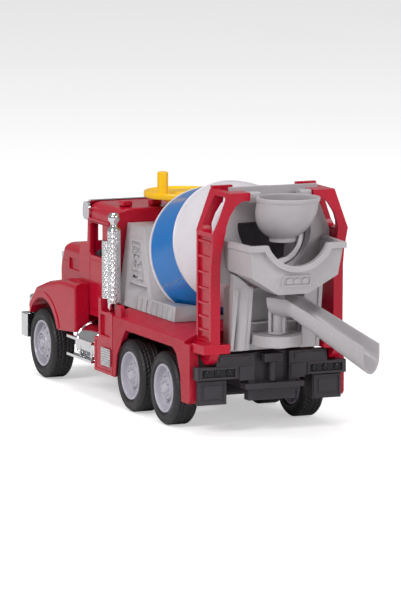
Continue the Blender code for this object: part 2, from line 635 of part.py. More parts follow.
def build_towers(truck, materials):
    """Rear posts: leaning heads with a window, a curved gusset and an arm for the hopper."""
    for side, sign in (("left", 1), ("right", -1)):
        section = [
            (28.2, 46.4), (TOWER_OUTER, 46.4), (TOWER_OUTER, KNEE_Z),
            (TOWER_OUTER - TOWER_LEAN, TOWER_TOP), (18.8, TOWER_TOP), (18.8, 130.0),
            (22.5, 130.0), (24.8, 129.2), (27.4, 127.2), (30.9, 121.8), (32.8, 116.6),
            (33.4, 112.2), (TOWER_INNER, 108.0), (TOWER_INNER, 51.2), (28.2, 51.2),
        ]
        bm = prism([(sign * y, z) for y, z in section], "X", -61.0, DECK_REAR - 0.4)
        tower = add_object("tower_" + side, bm, materials["red"], truck)
        behind = [(-70.0, KNEE_Z), (-61.0, KNEE_Z), (-56.4, 101.0), (-54.8, 92.0),
                  (-54.4, 40.0), (-70.0, 40.0)]
        cut(tower, prism(behind, "Y", -50.0, 50.0))
        ahead = [(-50.4, 127.0), (-50.4, 140.0), (-30.0, 140.0), (-30.0, 127.0)]
        cut(tower, prism(ahead, "Y", sign * 10.0, sign * 26.6))
        window = [(-57.0, 112.6), (-58.6, 120.0), (-58.6, 130.8), (-57.2, 132.0),
                  (-43.2, 132.0), (-41.4, 127.0), (-40.8, 116.0), (-42.5, 112.6)]
        cut(tower, prism(window, "Y", sign * 24.5, sign * 45.0))
        head = block((-37.2, DECK_REAR - 0.4), sorted((sign * 19.0, sign * 31.0)),
                     (TOWER_TOP - 2.0, 136.3))
        join(tower, head)
        front = DECK_REAR - 0.4
        foot = [(front, 28.0), (-55.0, 28.0), (-55.0, 43.6), (SKIRT_REAR - 0.4, 44.9),
                (SKIRT_REAR - 0.4, 40.6), (front, 40.6)]
        join(tower, prism([(x, sign * y) for x, y in foot], "Z", 46.3, 51.3))
        hook = [(-54.6, 47.0), (-54.6, 45.8), (-52.0, 42.3), (-47.0, 39.6), (-40.0, 42.0),
                (-40.0, 47.0)]
        join(tower, prism(hook, "Y", sign * 34.2, sign * TOWER_OUTER))
        bore = along_y(turned([(0, 0), (1.5, 0), (1.5, 9), (0, 9)], SMALL))
        low = 14.0 if sign > 0 else -23.0
        cut(tower, shifted(bore, HOPPER_PIVOT.x, low, HOPPER_PIVOT.z))


def build_mouth_frame(truck, materials):
    """Grey plate between the towers, open for the drum's mouth and the hopper's front."""
    half = [(33.2, 84.0), (33.2, KNEE_Z - 1.6), (25.9, 129.0), (25.9, 136.4)]
    outline = half + [(-y, z) for y, z in reversed(half)]
    plate = add_object("mouth_frame", prism(outline, "X", -49.9, -47.2), materials["grey"],
                       truck)
    shoulder = math.degrees(math.asin((MOUTH_SHOULDER - MOUTH_HOLE_Z) / MOUTH_HOLE))
    hole = arc((0.0, MOUTH_HOLE_Z), MOUTH_HOLE, 180.0 - shoulder, 360.0 + shoulder, 24)
    hole += [(9.5, MOUTH_SHOULDER), (9.5, 130.0), (-9.5, 130.0), (-9.5, MOUTH_SHOULDER)]
    cut(plate, prism(hole, "X", -54.0, -42.0))
    for middle in (0.0, 180.0):
        low, high = (-30.0, 18.0) if middle == 0.0 else (162.0, 210.0)
        wall = arc((0.0, MOUTH_HOLE_Z), 22.6, low, high, 6)
        wall += arc((0.0, MOUTH_HOLE_Z), 24.2, high, low, 6)
        join(plate, prism(wall, "X", -48.5, -40.5))


def dipped_band():
    """Rear rim of the collector: level, down round the dip, level again."""
    half = math.degrees(math.asin((DIP_CENTRE - RIM_TOP) / DIP_RADIUS))
    thick = DIP_RADIUS + RIM_THICK
    low = math.degrees(math.asin((DIP_CENTRE - RIM_TOP + RIM_THICK) / thick))
    upper = arc((0.0, DIP_CENTRE), DIP_RADIUS, 180.0 + half, 360.0 - half, 12)
    lower = arc((0.0, DIP_CENTRE), thick, 360.0 - low, 180.0 + low, 12)
    return [(-28.5, RIM_TOP)] + upper + [(28.5, RIM_TOP), (28.5, RIM_TOP - RIM_THICK)] \
        + lower + [(-28.5, RIM_TOP - RIM_THICK)]


def mirrored(points):
    """Add each point's mirror image across the truck's middle plane."""
    return points + [(x, -y, z) for x, y, z in points]


def build_collector(truck, materials):
    """Open-topped funnel below the drum's mouth, with a round dip in its rear wall."""
    outer = mirrored([(-50.3, 30.5, 105.5), (-81.0, 27.3, 105.5), (-79.3, 25.0, 90.0),
                      (-50.3, 28.5, 92.0), (-50.3, 22.0, 88.0), (-76.0, 8.8, 80.0),
                      (-60.0, 8.8, 80.0)])
    inner = mirrored([(-45.0, 28.4, 109.0), (-79.0, 25.3, 109.0), (-77.2, 23.0, 91.4),
                      (-45.0, 26.4, 93.6), (-45.0, 20.0, 92.2), (-73.8, 6.8, 79.0),
                      (-61.8, 6.8, 79.0)])
    funnel = add_object("collector", hull(outer), materials["grey"], truck)
    cut(funnel, hull(inner))
    for sign in (1, -1):
        corners = [(-50.3, 28.2), (-50.3, 31.0), (-82.9, 28.5), (-82.9, 26.0)]
        join(funnel, prism([(x, sign * y) for x, y in corners], "Z", RIM_TOP - RIM_THICK,
                           RIM_TOP))
    reach = DIP_RADIUS + 1.0
    dip = along_x(turned([(0, 0), (reach, 0), (reach, 20), (0, 20)], ROUND))
    cut(funnel, shifted(dip, -95.0, 0.0, DIP_CENTRE))
    join(funnel, prism(dipped_band(), "X", -83.2, -79.6))
    cut(funnel, block((-74.0, -61.5), (-6.9, 6.9), (70.0, 85.0)))


def build_rear_panel(truck, materials):
    """Recessed panel between two leaning cheeks, with the half-round chute shelf."""
    panel = add_object("rear_panel", block((-46.0, -42.0), (-16.5, 16.5), (46.8, 80.0)),
                       materials["grey"], truck)
    join(panel, block((-49.5, -43.0), (-16.0, 16.0), (46.8, 62.0)))
    cheek = [(-42.0, 46.8), (-50.7, 46.8), (-56.5, 82.4), (-48.0, 82.4), (-42.0, 80.0)]
    for sign in (1, -1):
        join(panel, prism(cheek, "Y", sign * 15.2, sign * 26.4))
        shoulder = [(x, sign * y, z) for x in (-50.6, -56.2)
                    for y, z in ((15.2, 81.0), (26.4, 81.0), (26.4, 89.6), (23.0, 87.6))]
        join(panel, hull(shoulder))
    shelf = [(-44.0, -SHELF_RADIUS), (CHUTE_PIVOT.x, -SHELF_RADIUS)]
    shelf += arc((CHUTE_PIVOT.x, 0.0), SHELF_RADIUS, -105.0, -255.0, 10)
    shelf += [(CHUTE_PIVOT.x, SHELF_RADIUS), (-44.0, SHELF_RADIUS)]
    join(panel, prism(shelf, "Z", 50.0, CHUTE_PIVOT.z))
    boss = turned([(0, 48.2), (5.0, 48.2), (5.0, 52.0), (0, 52.0)], ROUND)
    join(panel, shifted(boss, CHUTE_PIVOT.x))
    bore = turned([(0, 40), (2.4, 40), (2.4, 60), (0, 60)], SMALL)
    cut(panel, shifted(bore, CHUTE_PIVOT.x))


def trough_section(along, top, depth, half, lift=0.0):
    """One U-shaped section of the chute, as points from one upper edge to the other."""
    centre = top - depth + half
    points = [(along, half, top + lift)]
    for y, z in arc((0.0, centre), half, 0.0, -180.0, 10):
        points.append((along, y, z))
    points.append((along, -half, top + lift))
    return points


def lofted(sections):
    """Close a row of matching sections into one solid."""
    bm = bmesh.new()
    rings = [[bm.verts.new(point) for point in section] for section in sections]
    count = len(rings[0])
    for first, second in zip(rings, rings[1:]):
        for index in range(count):
            after = (index + 1) % count
            bm.faces.new((first[index], first[after], second[after], second[index]))
    bm.faces.new(rings[0])
    bm.faces.new(rings[-1])
    return bm


def build_chute(truck, materials):
    """Trough that swings on the shelf; local +X runs down the chute."""
    pivot = add_empty("chute_pivot", truck, CHUTE_PIVOT)
    pivot.rotation_euler = (0, 0, math.pi + CHUTE_SWING)
    base = CHUTE_PIVOT.z
    stations = ((-2.0, 76.8, 10.4), (10.0, 76.2, 10.8), (58.0, 53.8, 15.8))
    outer = [trough_section(x, top - base, depth, CHUTE_HALF) for x, top, depth in stations]
    chute = add_object("chute", lofted(outer), materials["grey"], pivot)
    inner = []
    for x, top, depth in ((-0.4, 76.8, 10.4), (10.0, 76.2, 10.8), (60.0, 52.9, 16.0)):
        inner.append(trough_section(x, top - base, depth - CHUTE_WALL,
                                    CHUTE_HALF - CHUTE_WALL, 6.0))
    cut(chute, lofted(inner), Matrix.Identity(4))
    post = [(0, -6.5), (2.0, -6.5), (2.0, GAP), (3.2, GAP), (3.2, 11.6), (0, 11.6)]
    join(chute, turned(post, SMALL), Matrix.Identity(4))


def build_hopper(truck, materials):
    """Charging bowl above the drum's mouth, on two pivots between the towers."""
    rim = HOPPER_RIM
    profile = [
        (HOPPER_RADIUS, rim), (HOPPER_RADIUS, rim - 2.0), (16.9, rim - 2.4), (16.9, 124.6),
        (16.5, 121.2), (15.2, 117.4), (12.8, 113.8), (10.0, HOPPER_THROAT), (7.3, 109.9),
        (7.3, 107.2), (5.7, 107.2), (5.7, 111.0), (8.8, 112.9), (11.6, 115.4), (13.7, 118.6),
        (14.9, 121.8), (15.3, 125.0), (15.3, rim - 2.0), (15.9, rim),
    ]
    pivot = HOPPER_PIVOT
    bowl = turned(profile, ROUND, closed=True)
    for vert in bowl.verts:
        vert.co.x += HOPPER_LEAN * (rim - max(vert.co.z, HOPPER_THROAT))
    hopper = add_object("hopper", shifted(bowl, HOPPER_X - pivot.x, 0.0, -pivot.z),
                        materials["grey"], truck, pivot, smooth=True)
    for sign in (1, -1):
        ear = block((-3.0, 3.0), sorted((sign * 11.6, sign * 18.4)), (-3.6, 2.2))
        join(hopper, ear)
        pin = along_y(turned([(0, 0), (1.2, 0), (1.2, 5.0), (0, 5.0)], SMALL))
        join(hopper, shifted(pin, y=17.4 if sign > 0 else -22.4))


# ---------------------------------------------------------------- rear end

def build_rear_end(truck, materials):
    black = materials["black"]
    half = [(33.0, 44.7), (33.0, 38.2), (44.5, 38.2), (44.5, 31.0), (14.0, 31.0),
            (14.0, 18.5)]
    face = half + [(-y, z) for y, z in reversed(half)]
    bumper = add_object("rear_bumper", prism(face, "X", -47.8, SKIRT_REAR - 0.4), black, truck)
    join(bumper, block((-52.0, -44.0), (-17.5, 17.5), (25.4, 28.4)))
    cut(bumper, block((-53.0, HITCH_RECESS), (-10.3, 10.3), (28.4, 50.0)))
    for sign in (1, -1):
        cut(bumper, block((-50.0, -46.4), sorted((sign * 22.0, sign * 42.2)), (32.2, 37.0)))
    for side, sign in (("left", 1), ("right", -1)):
        lamps = block((-47.4, -46.7), sorted((sign * 22.3, sign * 41.9)), (32.5, 36.7))
        add_object("tail_lamps_" + side, lamps, black, truck)
        flap = block((-44.6, -42.6), sorted((sign * 25.6, sign * 43.0)), (16.8, 30.7))
        add_object("mudflap_" + side, flap, black, truck)
    bracket = block((-50.5, HITCH_RECESS - GAP), (-5.5, 5.5), (39.6, 44.4))
    hitch = add_object("tow_hitch", bracket, black, truck)
    pin = turned([(0, 28.7), (1.6, 28.7), (2.0, 29.2), (2.0, 40.0), (0, 40.0)], SMALL)
    join(hitch, shifted(pin, -48.4))


def main():
    clear_scene()
    materials = make_materials()
    truck = add_empty("truck", None, (REAR_AXLE_X, 0.0, 0.0))
    build_chassis(truck, materials)
    build_wheels(truck, materials)
    build_cab(truck, materials)
    build_hood(truck, materials)
    build_fenders(truck, materials)
    build_front_chrome(truck, materials)
    build_roof_lamps(truck, materials)
    build_side_equipment(truck, materials)
    build_deck(truck, materials)
    build_cradle(truck, materials)
    build_drum(truck, materials)
    build_crank(truck, materials)
    build_towers(truck, materials)
    build_mouth_frame(truck, materials)
    build_collector(truck, materials)
    build_rear_panel(truck, materials)
    build_chute(truck, materials)
    build_hopper(truck, materials)
    build_rear_end(truck, materials)


main()
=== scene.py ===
"""Looks of the toy cement mixer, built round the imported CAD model.

Shapes are made in millimetres from the middle of the rear axle, on the ground:
+X to the bonnet, +Y to the truck's left, +Z up.
"""
import math

import bmesh
import bpy
from mathutils import Matrix, Vector


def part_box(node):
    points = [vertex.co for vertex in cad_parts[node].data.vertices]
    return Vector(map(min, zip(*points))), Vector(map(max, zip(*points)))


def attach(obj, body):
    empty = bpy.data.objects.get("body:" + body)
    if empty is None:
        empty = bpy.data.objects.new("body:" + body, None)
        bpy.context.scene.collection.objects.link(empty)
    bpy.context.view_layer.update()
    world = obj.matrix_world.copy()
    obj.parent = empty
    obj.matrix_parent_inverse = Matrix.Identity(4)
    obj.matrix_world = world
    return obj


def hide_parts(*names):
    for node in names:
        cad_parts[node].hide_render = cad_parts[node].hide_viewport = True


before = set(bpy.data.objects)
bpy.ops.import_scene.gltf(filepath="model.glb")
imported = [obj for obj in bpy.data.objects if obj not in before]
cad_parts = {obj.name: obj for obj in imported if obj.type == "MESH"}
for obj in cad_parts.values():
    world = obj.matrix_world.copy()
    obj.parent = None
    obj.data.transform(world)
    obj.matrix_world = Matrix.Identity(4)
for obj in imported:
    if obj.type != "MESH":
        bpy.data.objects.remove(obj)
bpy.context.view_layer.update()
REAR_AXLE = sum(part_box("axle_rear"), Vector()) / 2
WORLD = Matrix.Translation((REAR_AXLE.x, 0.0, 0.0)) @ Matrix.Scale(0.001, 4)

SIDES = (("left", 1), ("right", -1))
AXLES = (("front", 185.6), ("mid", 49.0), ("rear", 0.0))
TYRE_RADIUS = 20.5
WHEEL_INNER = 31.1              # Y of a wheel's inner face
TREAD_MIDDLE = 7.0              # from a wheel's inner face
NUTS = 10                       # in each wheel's ring

DRUM_TILT = math.radians(16.8)
DRUM_ORIGIN = Vector((33.4, 0.0, 89.2))
DRUM = Matrix.Translation(DRUM_ORIGIN) @ Matrix.Rotation(DRUM_TILT - math.pi / 2, 4, "Y")
BAND_SEAM = math.radians(118.0)
CRANK_X = 79.0
CRANK_KNOB = (-8.4, 15.5)       # from the crank's axis

STACK_X, STACK_Y = 78.8, 42.0
TANK_START, TANK_Y, TANK_Z = 100.0, 34.4, 29.0
ARCH_CENTRE = (182.6, 23.0)

BADGE_Y, BADGE_Z = -0.8, 87.6
HOPPER_X = -69.4
HOPPER_RIM = 132.3
HOPPER_THROAT = 111.2           # the bowl leans forwards from its rim down to here
HOPPER_LEAN = 0.38
HOPPER_PIVOT = Vector((-56.0, 0.0, 132.2))
CHUTE_PIVOT = Vector((-56.0, 0.0, 55.7))
CHUTE = Matrix.Translation(CHUTE_PIVOT) @ Matrix.Rotation(math.radians(216.0), 4, "Z")

FLOOR_HALF = 9.0                # metres, as are the lights and the camera below
FLOOR_GLOW = 0.46
SKY = 0.30
LIGHTS = (("key", (-1.1, 1.7, 1.5), 0.7, 27.0),
          ("rear_fill", (-1.7, -0.9, 0.8), 0.8, 12.5),
          ("top", (0.1, 0.2, 2.0), 1.0, 16.0))
CAMERA_PLACE = Vector((-2.4928, 1.0777, 0.4445))    # from the rear axle
CAMERA_ACROSS, CAMERA_DOWN = math.radians(21.30), math.radians(8.52)
CAMERA_SHIFT = (0.028505, 0.0105)


# ---------------------------------------------------------------- materials

class Nodes:
    """Small helper that adds and links shader nodes."""

    def __init__(self, name):
        self.material = bpy.data.materials.new(name)
        self.material.use_nodes = True
        self.tree = self.material.node_tree
        self.shader = self.tree.nodes["Principled BSDF"]
        self.place = self.add("ShaderNodeTexCoord").outputs["Object"]

    def add(self, kind, **values):
        node = self.tree.nodes.new(kind)
        for key, value in values.items():
            setattr(node, key, value)
        return node

    def link(self, source, target):
        self.tree.links.new(source, target)

    def noise(self, scale, detail=2.0, rough=0.5):
        node = self.add("ShaderNodeTexNoise")
        node.inputs["Scale"].default_value = scale
        node.inputs["Detail"].default_value = detail
        node.inputs["Roughness"].default_value = rough
        self.link(self.place, node.inputs["Vector"])
        return node.outputs["Fac"]

    def cells(self, scale, feature="F1"):
        node = self.add("ShaderNodeTexVoronoi", feature=feature)
        node.inputs["Scale"].default_value = scale
        self.link(self.place, node.inputs["Vector"])
        return node.outputs["Distance"]

    def ramp(self, source, low, high, start=0.3, end=0.7):
        node = self.add("ShaderNodeMapRange")
        node.inputs["From Min"].default_value = start
        node.inputs["From Max"].default_value = end
        node.inputs["To Min"].default_value = low
        node.inputs["To Max"].default_value = high
        self.link(source, node.inputs["Value"])
        return node.outputs["Result"]

    def mix(self, factor, first, second):
        node = self.add("ShaderNodeMix", data_type="RGBA")
        self.link(factor, node.inputs["Factor"])
        for value, socket in ((first, node.inputs["A"]), (second, node.inputs["B"])):
            if isinstance(value, tuple):
                socket.default_value = value
            else:
                self.link(value, socket)
        return node.outputs["Result"]

    def bump(self, height, distance, strength=1.0, below=None):
        node = self.add("ShaderNodeBump")
        node.inputs["Strength"].default_value = strength
        node.inputs["Distance"].default_value = distance
        self.link(height, node.inputs["Height"])
        if below is not None:
            self.link(below, node.inputs["Normal"])
        return node.outputs["Normal"]

    def edges(self, radius):
        """1 on sharp and rounded edges, 0 on flat faces."""
        bevel = self.add("ShaderNodeBevel", samples=4)
        bevel.inputs["Radius"].default_value = radius
        geometry = self.add("ShaderNodeNewGeometry")
        dot = self.add("ShaderNodeVectorMath", operation="DOT_PRODUCT")
        self.link(bevel.outputs["Normal"], dot.inputs[0])
        self.link(geometry.outputs["Normal"], dot.inputs[1])
        return self.ramp(dot.outputs["Value"], 1.0, 0.0, 0.82, 0.98)


def linear(red, green, blue):
    out = []
    for value in (red, green, blue):
        value /= 255.0
        out.append(value / 12.92 if value <= 0.04045 else ((value + 0.055) / 1.055) ** 2.4)
    return tuple(out) + (1.0,)


def scaled(colour, factor):
    return tuple(min(1.0, channel * factor) for channel in colour[:3]) + (1.0,)


def plastic(name, colour, roughness, grain=0.15, stipple=None, highlight_gain=1.18, shine=0.3):
    """Moulded plastic: faint mottling, satin mould grain, paler edges as a painted highlight."""
    n = Nodes(name)
    mottled = n.mix(n.ramp(n.noise(55.0, 3.0), 0.0, 1.0), scaled(colour, 0.93), scaled(colour, 1.06))
    fine = n.mix(n.ramp(n.noise(900.0, 2.0), 0.0, 0.5), mottled, scaled(colour, 0.9))
    # Rounded edges are made paler: a painted highlight, scaled per material.
    painted_edge_highlight = n.add("ShaderNodeMath", operation="MULTIPLY")
    n.link(n.edges(0.0006), painted_edge_highlight.inputs[0])
    painted_edge_highlight.inputs[1].default_value = 0.6
    n.link(n.mix(painted_edge_highlight.outputs[0], fine, scaled(colour, highlight_gain)), n.shader.inputs["Base Color"])
    n.link(n.ramp(n.noise(140.0, 4.0), roughness - 0.04, roughness + 0.05),
           n.shader.inputs["Roughness"])
    soft = n.bump(n.noise(26.0, 1.0), 0.0006, 0.05)
    normal = n.bump(n.noise(4200.0, 3.0, 0.6), 0.00005, grain, soft)
    if stipple:
        normal = n.bump(n.cells(stipple), 0.00025, 0.75, normal)
    n.link(normal, n.shader.inputs["Normal"])
    n.shader.inputs["Specular IOR Level"].default_value = shine
    n.shader.inputs["Coat Weight"].default_value = 0.05
    n.shader.inputs["Coat Roughness"].default_value = 0.12
    return n.material


def chrome(name, roughness=0.09, tone=235):
    """Vacuum-plated plastic: bright, a little wavy, with fine haze."""
    n = Nodes(name)
    colour = linear(tone, tone, tone + 3)
    haze = n.mix(n.ramp(n.noise(90.0, 4.0), 0.0, 1.0), scaled(colour, 0.86), colour)
    n.link(haze, n.shader.inputs["Base Color"])
    n.shader.inputs["Metallic"].default_value = 1.0
    n.link(n.ramp(n.noise(220.0, 4.0), roughness - 0.04, roughness + 0.08),
           n.shader.inputs["Roughness"])
    wave = n.bump(n.noise(150.0, 1.5), 0.0005, 0.12)
    n.link(n.bump(n.noise(2600.0, 2.0), 0.00004, 0.15, wave), n.shader.inputs["Normal"])
    return n.material


def rubber(name):
    n = Nodes(name)
    colour = linear(33, 31, 34)
    dusty = n.mix(n.ramp(n.noise(70.0, 5.0, 0.6), 0.0, 0.8), scaled(colour, 0.75), scaled(colour, 1.35))
    # Paler edges on the rubber: a painted highlight.
    n.link(n.mix(n.edges(0.0005), dusty, scaled(colour, 1.7)), n.shader.inputs["Base Color"])
    n.link(n.ramp(n.noise(300.0, 4.0), 0.42, 0.6), n.shader.inputs["Roughness"])
    n.link(n.bump(n.noise(3000.0, 3.0, 0.7), 0.00006, 0.5), n.shader.inputs["Normal"])
    return n.material


def build_materials():
    return {
        "red": plastic("red_plastic", linear(184, 12, 44), 0.20, highlight_gain=1.25),
        "deck": plastic("red_plastic_stippled", linear(180, 12, 44), 0.42, stipple=900.0),
        "grey": plastic("grey_plastic", linear(180, 176, 179), 0.34, highlight_gain=1.32),
        "white": plastic("white_plastic", linear(222, 217, 223), 0.30, highlight_gain=1.04),
        "blue": plastic("blue_plastic", linear(4, 112, 190), 0.20, 0.1, highlight_gain=1.15),
        "yellow": plastic("yellow_plastic", linear(255, 196, 24), 0.30, highlight_gain=1.05),
        "black": plastic("black_plastic", linear(58, 54, 60), 0.36, highlight_gain=1.9),
        "rim": plastic("rim_plastic", linear(186, 183, 194), 0.28, highlight_gain=1.3),
        "lens": plastic("smoke_lens", linear(24, 22, 26), 0.15, 0.1, highlight_gain=1.6),
        "chrome": chrome("chrome_plating"),
        "steel": chrome("axle_steel", 0.3, 190),
        "tyre": rubber("tyre_rubber"),
    }


MATERIALS = build_materials()


# ---------------------------------------------------------------- shapes

def prism(outline, axis, low, high):
    """A flat outline pushed along an axis. The outline is (y, z), (x, z) or (x, y)."""
    place = {"X": lambda a, b: (low, a, b), "Y": lambda a, b: (a, low, b),
             "Z": lambda a, b: (a, b, low)}[axis]
    bm = bmesh.new()
    face = bm.faces.new([bm.verts.new(place(a, b)) for a, b in outline])
    grown = bmesh.ops.extrude_face_region(bm, geom=[face])
    step = Vector([high - low if letter == axis else 0.0 for letter in "XYZ"])
    moved = [item for item in grown["geom"] if isinstance(item, bmesh.types.BMVert)]
    bmesh.ops.translate(bm, vec=step, verts=moved)
    bmesh.ops.recalc_face_normals(bm, faces=bm.faces)
    return bm


def block(x, y, z):
    x, y, z = sorted(x), sorted(y), sorted(z)
    return prism([(x[0], y[0]), (x[1], y[0]), (x[1], y[1]), (x[0], y[1])], "Z", z[0], z[1])


def turned(profile, sides, closed=False):
    """Turn a (radius, height) profile about +Z. An open profile starts and ends on the axis."""
    bm = bmesh.new()
    verts = [bm.verts.new((radius, 0.0, height)) for radius, height in profile]
    edges = [bm.edges.new(pair) for pair in zip(verts, verts[1:])]
    if closed:
        edges.append(bm.edges.new((verts[-1], verts[0])))
    bmesh.ops.spin(bm, geom=verts + edges, axis=(0, 0, 1), cent=(0, 0, 0),
                   angle=2 * math.pi, steps=sides, use_merge=True)
    bmesh.ops.remove_doubles(bm, verts=bm.verts, dist=1e-4)
    bmesh.ops.recalc_face_normals(bm, faces=bm.faces)
    return bm


def move(bm, matrix):
    bmesh.ops.transform(bm, matrix=matrix, verts=bm.verts)
    return bm


def shifted(bm, x=0.0, y=0.0, z=0.0):
    return move(bm, Matrix.Translation((x, y, z)))


def along_x(bm):
    return move(bm, Matrix.Rotation(math.pi / 2, 4, "Y"))


def along_y(bm):
    return move(bm, Matrix.Rotation(-math.pi / 2, 4, "X"))


def peg(radius, low, high, sides=24):
    return turned([(0, low), (radius, low), (radius, high), (0, high)], sides)


def arc(centre, radius, start, end, steps):
    points = []
    for index in range(steps + 1):
        angle = math.radians(start + (end - start) * index / steps)
        points.append((centre[0] + radius * math.cos(angle), centre[1] + radius * math.sin(angle)))
    return points


def rounded(x, z, radius, steps=4):
    """Corner points of a rounded rectangle from two (low, high) pairs."""
    (x0, x1), (z0, z1) = sorted(x), sorted(z)
    r = radius
    return (arc((x1 - r, z1 - r), r, 0, 90, steps) + arc((x0 + r, z1 - r), r, 90, 180, steps)
            + arc((x0 + r, z0 + r), r, 180, 270, steps) + arc((x1 - r, z0 + r), r, 270, 360, steps))


def hull(points):
    bm = bmesh.new()
    for point in points:
        bm.verts.new(point)
    result = bmesh.ops.convex_hull(bm, input=bm.verts)
    spare = [item for item in result["geom_interior"] if isinstance(item, bmesh.types.BMVert)]
    bmesh.ops.delete(bm, geom=spare, context="VERTS")
    bmesh.ops.recalc_face_normals(bm, faces=bm.faces)
    return bm


def add_to(bm, other):
    """Put another closed shape into the same mesh, without a Boolean."""
    mesh = bpy.data.meshes.new("spare")
    other.to_mesh(mesh)
    other.free()
    bm.from_mesh(mesh)
    bpy.data.meshes.remove(mesh)
    return bm


def temporary(bm):
    mesh = bpy.data.meshes.new("spare")
    bm.to_mesh(mesh)
    bm.free()
    thing = bpy.data.objects.new("spare", mesh)
    bpy.context.collection.objects.link(thing)
    return thing


def evaluated(thing):
    """The object's mesh with its modifiers, as a bmesh. The object is removed."""
    graph = bpy.context.evaluated_depsgraph_get()
    mesh = bpy.data.meshes.new_from_object(thing.evaluated_get(graph))
    bm = bmesh.new()
    bm.from_mesh(mesh)
    bpy.data.meshes.remove(mesh)
    drop(thing)
    return bm


def drop(thing):
    mesh = thing.data
    bpy.data.objects.remove(thing, do_unlink=True)
    bpy.data.meshes.remove(mesh)


def boolean(bm, tools, operation):
    """Cut or join a list of closed shapes."""
    thing = temporary(bm)
    helpers = [temporary(tool) for tool in tools]
    for helper in helpers:
        modifier = thing.modifiers.new("boolean", "BOOLEAN")
        modifier.operation = operation
        modifier.solver = "EXACT"
        modifier.object = helper
    result = evaluated(thing)
    for helper in helpers:
        drop(helper)
    return result


def cut(bm, *tools):
    return boolean(bm, tools, "DIFFERENCE")


def join(bm, *tools):
    return boolean(bm, tools, "UNION")


def take(node):
    """A copy of a CAD node's shape, with its flat faces whole again."""
    bm = bmesh.new()
    bm.from_mesh(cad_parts[node].data)
    move(bm, WORLD.inverted())
    bmesh.ops.remove_doubles(bm, verts=bm.verts, dist=0.002)
    bmesh.ops.dissolve_limit(bm, angle_limit=math.radians(0.6), verts=bm.verts, edges=bm.edges)
    return bm


def soften(bm, pick, width, segments):
    """Round the edges for which pick(middle, direction) is true."""
    chosen = []
    for edge in bm.edges:
        first, second = (vert.co for vert in edge.verts)
        if pick((first + second) / 2, (second - first).normalized()):
            chosen.append(edge)
    bmesh.ops.bevel(bm, geom=chosen, offset=width, segments=segments, affect="EDGES",
                    profile=0.5, clamp_overlap=True)
    return bm


def piece(name, bm, body, look, replaces=(), bevel=0.4, segments=2, angle=32.0, smooth=38.0):
    """Finish a shape: rounded edges, smooth shading, material, and the body it rides on."""
    bmesh.ops.remove_doubles(bm, verts=bm.verts, dist=0.001)
    if bevel:
        thing = temporary(bm)
        modifier = thing.modifiers.new("bevel", "BEVEL")
        modifier.width = bevel
        modifier.segments = segments
        modifier.limit_method = "ANGLE"
        modifier.angle_limit = math.radians(angle)
        modifier.use_clamp_overlap = True
        modifier.miter_outer = "MITER_ARC"
        bm = evaluated(thing)
    move(bm, WORLD)
    mesh = bpy.data.meshes.new(name)
    bm.to_mesh(mesh)
    bm.free()
    mesh.shade_smooth()
    mesh.set_sharp_from_angle(angle=math.radians(smooth))
    mesh.materials.append(MATERIALS[look])
    thing = bpy.data.objects.new(name, mesh)
    bpy.context.collection.objects.link(thing)
    if bevel:
        normals = thing.modifiers.new("normals", "WEIGHTED_NORMAL")
        normals.keep_sharp = True
    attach(thing, body)
    if replaces:
        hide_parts(*([replaces] if isinstance(replaces, str) else replaces))
    return thing


# ---------------------------------------------------------------- wheels

def tyre_mesh():
    """Tyre turned about +Z, its inner face at 0, with round grooves and shallow cross cuts."""
    section = [(14.1, 0.7), (15.0, 0.25), (16.6, 0.0), (18.2, 0.2), (19.3, 0.6), (20.0, 1.3)]
    tread = [2.0 + index * 10.0 / 20 for index in range(21)]
    section += [(20.5, z) for z in tread]
    section += [(20.0, 12.7), (19.3, 13.4), (18.4, 13.75), (18.1, 13.45), (17.0, 13.8),
                (16.0, 13.9), (15.2, 13.75), (14.9, 13.35), (14.1, 13.2)]
    around = 288
    bm = bmesh.new()
    rings = []
    for step in range(around):
        angle = 2 * math.pi * step / around
        ring = []
        for radius, z in section:
            depth = 0.0
            if radius > 20.2:
                across = abs(z - TREAD_MIDDLE)
                if min(abs(across - 1.5), abs(across - 3.5)) < 0.3:
                    depth = 0.5
                elif (step + across * 1.7) % 6 < 2.1:
                    depth = 0.3
            elif 19.9 < radius < 20.2 and (step + 10.0) % 6 < 2.1:
                depth = 0.15
            ring.append(bm.verts.new(((radius - depth) * math.cos(angle),
                                      (radius - depth) * math.sin(angle), z)))
        rings.append(ring)
    count = len(section)
    for step in range(around):
        first, second = rings[step], rings[(step + 1) % around]
        for index in range(count):
            after = (index + 1) % count
            bm.faces.new((first[index], second[index], second[after], first[after]))
    bmesh.ops.recalc_face_normals(bm, faces=bm.faces)
    return bm


RIM_BARREL = [(12.4, 0.9), (13.6, 0.9), (13.6, 13.3), (13.2, 13.6), (12.6, 13.5), (12.2, 12.9)]
RIM_BORE = [(0, 9.0), (2.3, 9.0), (2.3, 2.5), (5.5, 2.5)]


